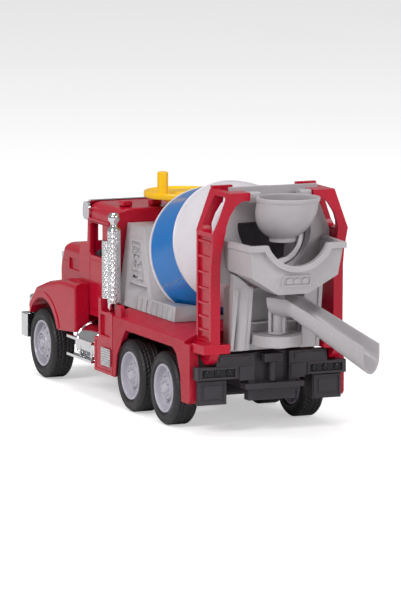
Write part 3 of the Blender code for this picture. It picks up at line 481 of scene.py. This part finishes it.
def rim_mesh():
    """Dished rear wheel centre: thin web with round holes, stepped hub with nuts."""
    profile = RIM_BORE + [(6.0, 8.3), (10.9, 8.3)] + RIM_BARREL + [
        (12.0, 11.8), (11.7, 10.2), (11.2, 9.4), (10.4, 9.1), (7.4, 9.2), (6.9, 9.6),
        (6.6, 11.0), (6.2, 11.6), (5.7, 11.9), (3.6, 12.0), (3.2, 12.3), (2.7, 13.2),
        (2.2, 13.6), (0, 13.7)]
    holes = []
    for index in range(8):
        angle = math.radians(17.0 + 45.0 * index)
        holes.append(shifted(peg(1.3, 7.0, 12.0, 20), 9.2 * math.cos(angle), 9.2 * math.sin(angle)))
    bm = cut(turned(profile, 72), *holes)
    for index in range(NUTS):
        angle = 2 * math.pi * index / NUTS
        nut = turned([(0, 11.8), (0.66, 11.8), (0.6, 13.0), (0.35, 13.25), (0, 13.25)], 6)
        add_to(bm, shifted(nut, 4.7 * math.cos(angle), 4.7 * math.sin(angle)))
        bump = turned([(0, 9.0), (0.55, 9.0), (0.45, 10.2), (0, 10.4)], 12)
        add_to(bm, shifted(bump, 7.9 * math.cos(angle), 7.9 * math.sin(angle)))
    return bm


def front_rim_mesh():
    """Front wheel centre: nearly flush cone with ten slots, raised ring and nuts."""
    profile = RIM_BORE + [(6.0, 11.6), (10.6, 9.7)] + RIM_BARREL + [
        (12.1, 10.6), (11.8, 10.2), (11.4, 10.2), (11.0, 10.7), (7.2, 12.8), (6.9, 13.4),
        (6.6, 13.8), (6.0, 13.8), (5.7, 12.6), (3.0, 12.5), (2.7, 13.4), (2.2, 13.9),
        (0, 14.0)]
    slots = []
    for index in range(10):
        slot = block((7.9, 10.4), (-0.95, 0.95), (9.0, 15.0))
        slots.append(move(slot, Matrix.Rotation(math.radians(14.0 + 36.0 * index), 4, "Z")))
    bm = cut(turned(profile, 72), *slots)
    for index in range(NUTS):
        angle = 2 * math.pi * (index + 0.5) / NUTS
        nut = turned([(0, 12.3), (0.6, 12.3), (0.55, 13.6), (0.3, 13.8), (0, 13.8)], 6)
        add_to(bm, shifted(nut, 4.4 * math.cos(angle), 4.4 * math.sin(angle)))
    return bm


def build_wheels():
    for name, x in AXLES:
        body = name + "_axle"
        for side, sign in SIDES:
            place = (Matrix.Translation((x, sign * WHEEL_INNER, TYRE_RADIUS))
                     @ Matrix.Rotation(-sign * math.pi / 2, 4, "X"))
            tag = "%s_%s" % (name, side)
            piece("wheel_tyre_" + tag, move(tyre_mesh(), place), body, "tyre", "tyre_" + tag,
                  bevel=0, smooth=28)
            centre = front_rim_mesh() if name == "front" else rim_mesh()
            piece("wheel_rim_" + tag, move(centre, place), body, "rim", "rim_" + tag,
                  bevel=0, smooth=30)


# ---------------------------------------------------------------- drum and crank

def drum_radius(along):
    if along < 0:
        part = 1 - (along / -24.0) ** 1.6
        return 8.0 + 29.8 * max(part, 0.0) ** 0.625
    if along < 28.9:
        return 37.8 - 1.8 * along / 28.9
    return 36.0 - 16.2 * min((along - 28.9) / 51.1, 1.0) ** 1.3


def build_drum():
    steps = [-23.99, -23.6, -23.0, -22.0, -20.5, -18.5, -16.0, -13.0, -10.0, -7.0, -4.0, -2.2]
    outer = [(0, -41.2), (2.4, -41.2), (2.4, -24.6)] + [(drum_radius(u), u) for u in steps]
    outer += [(37.9, -1.9), (38.25, -1.7), (38.25, -0.3), (38.1, -0.05), (36.9, 0.0),
              (35.1, 28.9), (36.2, 28.95), (36.3, 29.2), (36.3, 30.0), (35.9, 30.3)]
    outer += [(drum_radius(30.5 + 45.0 * k / 18), 30.5 + 45.0 * k / 18) for k in range(19)]
    outer += [(20.6, 76.2), (20.9, 76.6), (20.9, 79.5), (20.6, 80.0)]
    inner = [(18.5, 80.0), (18.2, 79.6)]
    inner += [(drum_radius(u) - 2.4, u) for u in (74.0, 68.0, 62.0, 50.0, 40.0, 28.9, 0.0,
                                                   -8.0, -15.0, -19.0)]
    inner.append((0, -21.0))
    piece("drum_body", move(turned(outer + inner, 128), DRUM), "drum", "white", "drum_shell",
          bevel=0, smooth=25)

    band = bmesh.new()
    section = [(36.95, 0.2), (37.75, 0.3), (36.0, 28.6), (35.15, 28.7)]
    around, slit = 180, 0.006
    rings = []
    for step in range(around + 1):
        angle = BAND_SEAM + slit + (2 * math.pi - 2 * slit) * step / around
        rings.append([band.verts.new((r * math.cos(angle), r * math.sin(angle), z))
                      for r, z in section])
    for first, second in zip(rings, rings[1:]):
        for index in range(4):
            after = (index + 1) % 4
            band.faces.new((first[index], first[after], second[after], second[index]))
    band.faces.new(rings[0])
    band.faces.new(rings[-1])
    bmesh.ops.recalc_face_normals(band, faces=band.faces)
    piece("drum_stripe", move(band, DRUM), "drum", "blue", "drum_band", bevel=0, smooth=30)

    for number, start in ((1, 0.6), (2, 0.6 + math.pi)):
        piece("mixing_fin_%d" % number, move(fin_mesh(start), DRUM), "drum", "white",
              "drum_fin_%d" % number, bevel=0.25)


def fin_mesh(start_angle):
    steps = 48
    bm = bmesh.new()
    rings = []
    for index in range(steps + 1):
        along = 44.0 + 30.0 * index / steps
        angle = start_angle + math.pi * index / steps
        reach = drum_radius(along) - 3.0
        depth = 0.5 + 5.5 * min(1.0, index / 10.0, (steps - index) / 16.0) ** 0.6
        corners = []
        for radius, shift in ((reach, -0.6), (reach, 0.6), (reach - depth, 0.45),
                              (reach - depth, -0.45)):
            corners.append(bm.verts.new((radius * math.cos(angle), radius * math.sin(angle),
                                         along + shift)))
        rings.append(corners)
    for first, second in zip(rings, rings[1:]):
        for index in range(4):
            after = (index + 1) % 4
            bm.faces.new((first[index], first[after], second[after], second[index]))
    bm.faces.new(rings[0])
    bm.faces.new(rings[-1])
    bmesh.ops.recalc_face_normals(bm, faces=bm.faces)
    return bm


def build_crank():
    low = 83.4
    profile = [
        (0, low + 0.6), (1.6, low + 0.6), (1.6, 85.6), (2.9, 85.6), (2.9, 104.0), (5.3, 104.2),
        (5.5, 104.6), (5.5, 113.0), (5.8, 113.3), (9.1, 113.5), (9.5, 113.9), (9.5, 116.0),
        (9.9, 116.4), (18.0, 117.0), (19.2, 116.8), (19.8, 116.5), (21.0, 116.5), (21.7, 116.8),
        (22.0, 117.4), (22.0, 119.3), (21.7, 119.9), (21.0, 120.2), (20.0, 120.2), (19.5, 119.9),
        (19.2, 119.4), (18.6, 119.2), (8.4, 119.2), (8.0, 119.5), (7.0, 119.9), (0, 119.9),
    ]
    bm = shifted(turned(profile, 96), CRANK_X)
    knob = [(0, 118.4), (3.9, 118.4), (3.5, 119.3), (3.2, 120.0), (3.1, 121.0), (3.1, 131.3),
            (2.9, 131.9), (2.4, 132.2), (0, 132.2)]
    bm = join(bm, shifted(turned(knob, 40), CRANK_X + CRANK_KNOB[0], CRANK_KNOB[1]))
    piece("crank_handwheel", bm, "crank", "yellow", "crank_wheel", bevel=0, smooth=34)


# ---------------------------------------------------------------- cab and bonnet

def build_cab():
    shell = take("cab_shell")
    cuts, adds = [], []
    for _, sign in SIDES:
        around = prism(rounded((100.3, 131.2), (47.8, 99.2), 3.0), "Y", sign * 35.5, sign * 37.0)
        door = prism(rounded((101.0, 130.5), (48.5, 98.5), 2.5), "Y", sign * 34.0, sign * 38.0)
        cuts.append(cut(around, door))
        rail = [(99.5, 99.2), (132.5, 99.2), (132.5, 100.6), (99.5, 100.6)]
        adds.append(prism(rail, "Y", sign * 35.0, sign * 37.0))
        belt = [(101.8, 75.0), (129.8, 75.0), (129.8, 76.4), (101.8, 76.4)]
        adds.append(prism(belt, "Y", sign * 35.0, sign * 36.55))
        handle = rounded((103.5, 109.0), (69.5, 71.2), 0.8, 3)
        adds.append(prism(handle, "Y", sign * 35.0, sign * 37.2))
    bm = cut(shell, *cuts)
    bm = join(bm, *adds)
    piece("cab_body", bm, "truck", "red", "cab_shell", bevel=0.7, segments=3)
    piece("cab_seats", take("cab_interior"), "truck", "black", "cab_interior", bevel=0.8)
    for number, y in enumerate((27.0, 9.0, -9.0, -27.0), start=1):
        lamp = block((95.0, 101.5), (y - 3.2, y + 3.2), (110.05, 113.4))
        piece("marker_lamp_%d" % number, lamp, "truck", "red", "roof_lamp_%d" % number,
              bevel=0.9, segments=3)


def build_bonnet():
    seams = [block((146.0, 209.0), (sign * 23.1, sign * 24.5), (66.6, 67.2)) for _, sign in SIDES]
    bm = cut(take("hood"), *seams)
    piece("bonnet", bm, "truck", "red", "hood", bevel=0.7, segments=3)
    for side, sign in SIDES:
        fender = soften(take("fender_" + side), lambda middle, way: abs(way.z) > 0.95
                        and abs(middle.y) > 44 and middle.x < 134, 4.5, 6)
        lip = arc(ARCH_CENTRE, 24.8, 36.0, 158.0, 30) + arc(ARCH_CENTRE, 28.2, 158.0, 40.0, 30)
        fender = join(fender, prism(lip, "Y", sign * 43.6, sign * 45.5))
        piece("wing_" + side, fender, "truck", "red", "fender_" + side, bevel=0.9, segments=3)


def build_front_chrome():
    for node, name in (("grille", "radiator_grille"), ("front_bumper", "bumper_front")):
        piece(name, take(node), "truck", "chrome", node, bevel=0.5, segments=3)
    rolls = [(134.2, 99.6), (136.6, 98.9), (138.0, 100.2), (138.2, 102.4), (137.2, 105.8),
             (135.2, 108.6), (132.4, 110.6), (130.2, 110.8), (129.5, 110.4), (134.0, 104.4)]
    visor = prism(rolls, "Y", -36.0, 36.0)
    ends = []
    for _, sign in SIDES:
        ends.append(prism(rounded((128.4, 138.0), (99.0, 109.4), 3.6, 6), "Y", sign * 36.4,
                          sign * 37.6))
        ends.append(prism(rounded((131.4, 138.0), (99.2, 108.6), 3.0, 6), "Y", sign * 35.6,
                          sign * 36.8))
    visor = join(visor, *ends)
    piece("sun_visor", visor, "truck", "chrome", "roof_visor", bevel=0.6, segments=3)
    for side, sign in SIDES:
        lamp = take("headlamp_" + side)
        lamp = cut(lamp, shifted(along_x(peg(4.2, 0, 5)), 208.6, sign * 31.4, 41.0),
                   shifted(along_x(peg(4.2, 0, 5)), 208.6, sign * 38.9, 41.0))
        piece("head_lamp_" + side, lamp, "truck", "chrome", "headlamp_" + side, bevel=0.4)


# ---------------------------------------------------------------- side equipment

def perforated(radius, low, high, around=48, pitch=1.6):
    """A tube with rows of small round dents, closed at both ends."""
    bm = bmesh.new()
    rows = int((high - low) / 0.4)
    rings = []
    for row in range(rows + 1):
        z = low + (high - low) * row / rows
        ring = []
        for step in range(around * 3):
            angle = 2 * math.pi * step / (around * 3)
            arc_length = radius * angle
            level = round((z - low) / (pitch * 0.87))
            offset = 0.5 * pitch * (level % 2)
            across = (arc_length - offset + pitch / 2) % pitch - pitch / 2
            up = (z - low) - level * pitch * 0.87
            dent = 0.35 if math.hypot(across, up) < pitch * 0.31 else 0.0
            if row in (0, rows):
                dent = 0.3
            ring.append(bm.verts.new(((radius - dent) * math.cos(angle),
                                      (radius - dent) * math.sin(angle), z)))
        rings.append(ring)
    for first, second in zip(rings, rings[1:]):
        for step in range(around * 3):
            after = (step + 1) % (around * 3)
            bm.faces.new((first[step], first[after], second[after], second[step]))
    bm.faces.new(rings[0])
    bm.faces.new(rings[-1])
    bmesh.ops.recalc_face_normals(bm, faces=bm.faces)
    return bm


def build_side_equipment():
    for side, sign in SIDES:
        y = sign * STACK_Y
        top = [(0, 99.0), (3.7, 99.0), (3.5, 100.2), (2.4, 101.3), (2.0, 102.2), (2.1, 103.6),
               (3.0, 104.6), (3.4, 106.0), (3.2, 107.6), (2.3, 108.8), (1.2, 109.2), (0, 109.2)]
        stack = shifted(turned(top, 40), STACK_X, y)
        add_to(stack, shifted(perforated(3.8, 57.7, 99.2), STACK_X, y))
        add_to(stack, shifted(perforated(4.0, 60.2, 93.2), 82.6, y + sign * 1.55))
        add_to(stack, shifted(turned([(0, 52.8), (1.5, 52.8), (1.7, 53.1), (1.7, 62.0), (0, 62.0)],
                                     24), 84.2, y))
        piece("stack_" + side, stack, "truck", "chrome", "exhaust_stack_" + side, bevel=0,
              smooth=50)

        box = take("side_box_" + side)
        niche = block((75.0, 89.2), (sign * 44.8, sign * 47.0), (38.6, 50.6))
        lower = block((73.0, 96.5), (sign * 45.9, sign * 47.0), (19.0, 34.6))
        box = cut(box, niche, lower)
        piece("battery_box_" + side, box, "truck", "red", "side_box_" + side, bevel=0.5)

        panel = block((72.5, 86.0), (sign * 46.6, sign * 47.3), (22.0, 32.0))
        for row in range(7):
            for column in range(9):
                x = 73.6 + column * 1.42
                z = 22.9 + row * 1.36
                tilt = 45.0 if (row + column) % 2 else -45.0
                bar = block((-0.52, 0.52), (-0.2, 0.5), (-0.16, 0.16))
                move(bar, Matrix.Rotation(math.radians(tilt), 4, "Y"))
                if sign < 0:
                    move(bar, Matrix.Rotation(math.pi, 4, "Z"))
                add_to(panel, shifted(bar, x, sign * 47.1, z))
        piece("tread_plate_" + side, panel, "truck", "chrome", "step_panel_" + side, bevel=0)

        build_tank(side, sign)


def build_tank(side, sign):
    profile = [(0, 0), (9.8, 0), (10.6, 0.3), (11.2, 0.9), (11.6, 1.2), (11.6, 2.8), (11.1, 3.1),
               (11.1, 26.9), (11.6, 27.2), (11.6, 28.8), (11.2, 29.1), (10.6, 29.7), (9.8, 30.0),
               (0, 30.0)]
    bm = shifted(along_x(turned(profile, 72)), TANK_START, sign * TANK_Y, TANK_Z)
    adds = []
    for low, reach in ((30.6, 45.0), (20.2, 43.5)):
        adds.append(block((101.0, 139.0), (sign * reach, sign * 47.4), (low, low + 1.6)))
    for low in (104.0, 122.0):
        adds.append(block((low, low + 2.5), (sign * 41.0, sign * 45.6), (20.2, 32.2)))
    bm = join(bm, *adds)
    piece("tank_" + side, bm, "truck", "chrome", "fuel_tank_" + side, bevel=0.3, angle=50,
          smooth=50)


# ---------------------------------------------------------------- deck and cradle

def build_deck():
    piece("deck", take("rear_deck"), "truck", "deck", "rear_deck", bevel=0.6, segments=3)
    piece("ladder_chassis", take("chassis_frame"), "truck", "black", "chassis_frame", bevel=0.5)


def leaning(bm, sign):
    """Lean a shape made on the plane Y = 36 so that it lies on the cradle's side."""
    for vert in bm.verts:
        z = vert.co.z
        y0, z0, y1, z1 = (36.0, 56.1, 34.9, 64.4) if z < 64.4 else (34.9, 64.4, 30.0, 102.0)
        side = y0 + (y1 - y0) * (z - z0) / (z1 - z0)
        vert.co.y = sign * (side + vert.co.y - 36.0)
    if sign < 0:
        bmesh.ops.reverse_faces(bm, faces=bm.faces)
    return bm


def tube_path(points, radius, low=35.6):
    """A raised round-edged bar along (x, z) points, lying on the plane Y = 36."""
    bars = []
    for (x0, z0), (x1, z1) in zip(points, points[1:]):
        along = Vector((x1 - x0, z1 - z0)).normalized() * radius
        side = Vector((-along.y, along.x))
        corners = [(x0 - along.x + side.x, z0 - along.y + side.y),
                   (x0 - along.x - side.x, z0 - along.y - side.y),
                   (x1 + along.x - side.x, z1 + along.y - side.y),
                   (x1 + along.x + side.x, z1 + along.y + side.y)]
        bars.append(prism(corners, "Y", low, 36.0 + radius * 0.9))
    return bars


def build_cradle():
    bm = take("drum_cradle")
    adds = []
    panel = [(48.6, 70.0), (63.3, 94.4), (77.6, 94.4), (74.0, 70.0)]
    inner = [(51.0, 71.3), (64.2, 93.1), (76.0, 93.1), (72.7, 71.3)]
    pipes = ([(66.0, 91.0), (74.0, 91.0)], [(70.0, 91.0), (69.5, 87.0)],
             [(63.0, 87.0), (73.4, 87.0), (72.8, 82.2), (61.0, 82.2), (63.0, 87.0)],
             [(66.6, 82.2), (65.6, 78.2)], [(57.5, 78.2), (72.0, 78.2)],
             [(57.5, 78.2), (55.8, 73.8), (61.0, 73.8)], [(72.0, 78.2), (71.2, 73.8)],
             [(65.6, 78.2), (64.8, 73.8), (71.2, 73.8)])
    for _, sign in SIDES:
        ridge = cut(prism(panel, "Y", 35.4, 36.8), prism(inner, "Y", 35.0, 37.2))
        adds.append(leaning(ridge, sign))
        for path in pipes:
            adds += [leaning(bar, sign) for bar in tube_path(path, 0.75)]
        for index in range(8):
            low = 8.0 + index * 7.4
            adds.append(leaning(block((low, low + 1.3), (35.4, 36.7), (56.8, 63.2)), sign))
    bm = join(bm, *adds)
    piece("cradle", bm, "truck", "grey", "drum_cradle", bevel=0.4, segments=2)


# ---------------------------------------------------------------- pouring end

def build_towers():
    for side, sign in SIDES:
        bm = take("tower_" + side)
        channel = [(-51.6, 53.4), (-36.6, 53.4), (-36.6, 110.0), (-55.6, 110.0), (-53.6, 101.0),
                   (-51.9, 92.0)]
        bm = cut(bm, prism(channel, "Y", sign * 37.9, sign * 40.5))
        adds = []
        for z in (57.8, 65.1, 72.6, 80.8, 89.4, 98.0, 106.4):
            reach = -52.2 if z < 95 else -54.0
            adds.append(block((reach, -36.0), (sign * 37.4, sign * 39.0), (z, z + 1.3)))
        bm = join(bm, *adds)
        piece("post_" + side, bm, "truck", "red", "tower_" + side, bevel=0.6, segments=3)


def build_mouth_plate():
    ring = turned([(21.7, 76.4), (24.0, 76.4), (24.0, 79.6), (21.7, 79.6)], 96, closed=True)
    plate = join(take("mouth_frame"), move(ring, DRUM))
    piece("mouth_plate", plate, "truck", "grey", "mouth_frame", bevel=0.4)


def collector_rear(z):
    """X of the collector's outer rear wall at a height, over its middle."""
    if z > 90.0:
        return -79.3 - 1.7 * (z - 90.0) / 15.5
    return -76.0 - 3.3 * (z - 80.0) / 10.0


def build_collector():
    """The catching funnel, with a raised frame and three bumps that follow its rear wall."""
    low, high = BADGE_Z - 3.2, BADGE_Z + 3.2
    raised = [cut(prism(rounded((-8.8, 8.8), (low, high), 1.4, 4), "X", -81.6, -75.0),
                  prism(rounded((-7.9, 7.9), (low + 0.9, high - 0.9), 0.9, 4), "X", -83.0, -74.0))]
    for y in (-4.6, 0.0, 4.6):
        raised.append(prism(arc((y, BADGE_Z), 1.5, 0, 345, 23), "X", -81.5, -75.0))
    for shape in raised:
        for vert in shape.verts:
            if vert.co.x < -78.0:
                vert.co.x = collector_rear(vert.co.z) - 0.8
    bm = join(take("collector"), *[shifted(shape, y=BADGE_Y) for shape in raised])
    piece("catch_funnel", bm, "truck", "grey", "collector", bevel=0.5)


def build_back_panel():
    ribs = []
    for _, sign in SIDES:
        for low_y, high_y in ((25.6, 24.6), (16.2, 16.2)):
            rib = []
            for z, y in ((47.4, low_y), (81.6, high_y)):
                rear = -50.7 - 5.8 * (z - 46.8) / 35.6
                for x in (rear - 0.9, rear + 1.5):
                    for half in (-0.8, 0.8):
                        rib.append((x, sign * (y + half), z))
            ribs.append(hull(rib))
    bm = join(take("rear_panel"), *ribs)
    bm = cut(bm, block((-50.5, -46.4), (-14.8, 14.8), (56.0, 61.0)),
             block((-50.5, -48.3), (13.6, 14.8), (50.0, 57.4)),
             block((-50.5, -48.3), (-14.8, -13.6), (50.0, 57.4)))
    piece("back_panel", bm, "truck", "grey", "rear_panel", bevel=0.45)


def build_hopper():
    rim, throat, pivot = HOPPER_RIM, HOPPER_THROAT, HOPPER_PIVOT
    profile = [
        (17.4, rim - 0.4), (17.1, rim), (16.2, rim), (15.9, rim - 0.3), (15.6, rim - 1.2),
        (15.3, 128.6), (15.2, 125.4), (14.9, 122.6), (14.1, 119.6), (12.6, 116.6),
        (10.6, 114.2), (8.4, 112.5), (6.2, 111.4), (5.7, 110.9), (5.7, 107.5), (6.0, 107.2),
        (7.0, 107.2), (7.3, 107.5), (7.3, 109.4), (7.8, 110.0), (8.8, 110.5), (10.0, throat),
        (11.5, 112.4), (13.0, 114.0), (14.2, 115.8), (15.2, 117.8), (16.0, 120.0),
        (16.5, 122.4), (16.8, 125.0), (16.8, rim - 2.6), (17.3, rim - 2.2), (17.4, rim - 1.7),
    ]
    bm = turned(profile, 96, closed=True)
    for vert in bm.verts:
        vert.co.x += HOPPER_LEAN * (rim - max(vert.co.z, throat)) + HOPPER_X
    adds = []
    for _, sign in SIDES:
        ear = rounded((pivot.x - 3.0, pivot.x + 3.0), (128.6, 134.4), 1.2, 3)
        adds.append(prism(ear, "Y", sign * 11.8, sign * 18.4))
        pin = along_y(peg(1.2, 0, 5.0))
        adds.append(shifted(pin, pivot.x, 17.4 if sign > 0 else -22.4, pivot.z))
    bm = join(bm, *adds)
    piece("tipping_hopper", bm, "hopper_bowl", "grey", "hopper", bevel=0.2, angle=50, smooth=34)


def trough_section(along, top, depth, half, lift=0.0, steps=28):
    centre = top - depth + half
    points = [(along, half, top + lift)]
    for y, z in arc((0.0, centre), half, 0.0, -180.0, steps):
        points.append((along, y, z))
    points.append((along, -half, top + lift))
    return points


def lofted(sections):
    bm = bmesh.new()
    rings = [[bm.verts.new(point) for point in section] for section in sections]
    count = len(rings[0])
    for first, second in zip(rings, rings[1:]):
        for index in range(count):
            after = (index + 1) % count
            bm.faces.new((first[index], first[after], second[after], second[index]))
    bm.faces.new(rings[0])
    bm.faces.new(rings[-1])
    bmesh.ops.recalc_face_normals(bm, faces=bm.faces)
    return bm


def build_chute():
    base = CHUTE_PIVOT.z
    half, wall = 9.35, 1.6
    stations = ((-2.0, 76.8, 10.4), (10.0, 76.2, 10.8), (58.0, 53.8, 15.8))
    bm = lofted([trough_section(x, top - base, depth, half) for x, top, depth in stations])
    inner = [trough_section(x, top - base, depth - wall, half - wall, 6.0) for x, top, depth
             in ((-0.4, 76.8, 10.4), (10.0, 76.2, 10.8), (60.0, 52.9, 16.0))]
    bm = cut(bm, lofted(inner))
    post = [(0, -6.5), (2.0, -6.5), (2.0, 0.3), (3.2, 0.3), (3.2, 11.6), (0, 11.6)]
    fins = [block((-3.6, -2.0), (-4.6, -3.2), (0.3, 13.0)),
            block((-3.6, -2.0), (3.2, 4.6), (0.3, 13.0)),
            block((-3.4, 4.8), (-0.7, 0.7), (0.3, 12.6)),
            prism(arc((0, 0), 5.6, 0, 345, 23), "Z", 0.3, 1.5)]
    bm = join(bm, turned(post, 32), *fins)
    for index in range(9):
        along = 13.0 + index * 5.2
        top = 76.2 - (along - 10.0) * 22.4 / 48 - base
        for sign in (1, -1):
            dot = along_y(turned([(0, 0), (0.55, 0), (0.45, 0.3), (0, 0.4)], 12))
            if sign < 0:
                move(dot, Matrix.Rotation(math.pi, 4, "Z"))
            add_to(bm, shifted(dot, along, sign * (half - 0.1), top - 3.2))
    piece("swing_chute", move(bm, CHUTE), "chute_arm", "grey", "chute", bevel=0.4, angle=50,
          smooth=34)


# ---------------------------------------------------------------- rear end

def build_rear_end():
    bm = take("rear_bumper")
    adds = []
    for _, sign in SIDES:
        adds.append(block((-48.6, -46.0), (sign * 11.2, sign * 19.4), (30.0, 37.6)))
        ring = cut(block((-48.6, -47.0), (sign * 21.2, sign * 42.8), (31.5, 37.8)),
                   block((-49.0, -46.0), (sign * 22.2, sign * 41.9), (32.4, 36.8)))
        adds.append(ring)
        adds.append(block((-48.5, -46.0), (sign * 13.5, sign * 31.5), (40.2, 43.6)))
    bm = join(bm, *adds)
    piece("bumper_rear", bm, "truck", "black", "rear_bumper", bevel=0.35)
    for side, sign in SIDES:
        bm = take("tail_lamps_" + side)
        for index in range(3):
            y = sign * (25.4 + index * 6.7)
            lamp = turned([(0, 0), (2.0, 0), (2.0, 0.5), (1.75, 0.75), (1.5, 0.75), (1.4, 0.5),
                           (0.7, 0.75), (0, 0.85)], 40)
            move(lamp, Matrix.Rotation(-math.pi / 2, 4, "Y"))
            add_to(bm, shifted(lamp, -47.35, y, 34.6))
        piece("lamp_block_" + side, bm, "truck", "lens", "tail_lamps_" + side, bevel=0.12)
        flap = take("mudflap_" + side)
        frame_bar = cut(block((-45.4, -44.4), (sign * 26.2, sign * 42.4), (17.4, 30.1)),
                        block((-46.0, -44.0), (sign * 27.3, sign * 41.3), (18.5, 29.0)))
        bm = join(flap, frame_bar, block((-45.3, -44.4), (sign * 29.0, sign * 39.6), (20.0, 27.6)))
        piece("flap_" + side, bm, "truck", "black", "mudflap_" + side, bevel=0.25)
    piece("hitch", take("tow_hitch"), "truck", "black", "tow_hitch", bevel=0.3)


def dress_hidden_nodes():
    """The axles and bevel wheels keep their CAD shapes and take this file's materials."""
    for node, look in (("axle_front", "steel"), ("axle_mid", "steel"), ("axle_rear", "steel"),
                       ("drum_bevel", "grey"), ("crank_bevel", "grey")):
        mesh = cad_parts[node].data
        mesh.materials.clear()
        mesh.materials.append(MATERIALS[look])


# ---------------------------------------------------------------- stage

def build_stage():
    bm = bmesh.new()
    corners = ((-1, -1), (1, -1), (1, 1), (-1, 1))
    bm.faces.new([bm.verts.new((x * FLOOR_HALF, y * FLOOR_HALF, -0.0002)) for x, y in corners])
    mesh = bpy.data.meshes.new("floor")
    bm.to_mesh(mesh)
    bm.free()
    n = Nodes("studio_floor")
    n.link(n.mix(n.ramp(n.noise(3.0), 0.0, 1.0), (0.86, 0.86, 0.86, 1), (0.89, 0.89, 0.89, 1)),
           n.shader.inputs["Base Color"])
    n.shader.inputs["Roughness"].default_value = 0.7
    n.shader.inputs["Specular IOR Level"].default_value = 0.1
    n.shader.inputs["Emission Color"].default_value = (1.0, 1.0, 1.0, 1.0)
    # The floor glows for the camera only, so the model mirrors a darker one.
    seen = n.add("ShaderNodeLightPath").outputs["Is Camera Ray"]
    n.link(n.ramp(seen, 0.0, FLOOR_GLOW, 0.0, 1.0), n.shader.inputs["Emission Strength"])
    mesh.materials.append(n.material)
    floor = bpy.data.objects.new("floor", mesh)
    bpy.context.collection.objects.link(floor)

    world = bpy.data.worlds.new("studio")
    bpy.context.scene.world = world
    world.use_nodes = True
    shade = world.node_tree.nodes["Background"]
    shade.inputs["Color"].default_value = (1.0, 1.0, 1.0, 1.0)
    shade.inputs["Strength"].default_value = SKY

    for name, place, size, energy in LIGHTS:
        light = bpy.data.lights.new(name, "AREA")
        light.energy = energy
        light.size = size
        lamp = bpy.data.objects.new(name, light)
        bpy.context.collection.objects.link(lamp)
        lamp.location = place
        aim = Vector((0.0, 0.0, 0.06)) - Vector(place)
        lamp.rotation_euler = aim.to_track_quat("-Z", "Y").to_euler()
    bpy.context.scene.view_settings.view_transform = "Standard"


def build_camera():
    across, down = CAMERA_ACROSS, CAMERA_DOWN
    ahead = Vector((math.cos(across) * math.cos(down), -math.sin(across) * math.cos(down),
                    -math.sin(down)))
    right = Vector((-math.sin(across), -math.cos(across), 0.0))
    up = right.cross(ahead)
    aim = (ahead + right * CAMERA_SHIFT[0] + up * CAMERA_SHIFT[1]).normalized()
    data = bpy.data.cameras.new("camera")
    data.sensor_fit = "HORIZONTAL"
    data.sensor_width = 36.0
    data.lens = 443.76
    data.clip_end = 50.0
    camera = bpy.data.objects.new("camera", data)
    bpy.context.collection.objects.link(camera)
    camera.location = CAMERA_PLACE + Vector((REAR_AXLE.x, 0, 0))
    camera.rotation_euler = aim.to_track_quat("-Z", "Y").to_euler()
    bpy.context.scene.camera = camera


build_camera()
build_stage()
build_wheels()
build_drum()
build_crank()
build_cab()
build_bonnet()
build_front_chrome()
build_side_equipment()
build_deck()
build_cradle()
build_towers()
build_mouth_plate()
build_collector()
build_back_panel()
build_hopper()
build_chute()
build_rear_end()
dress_hidden_nodes()
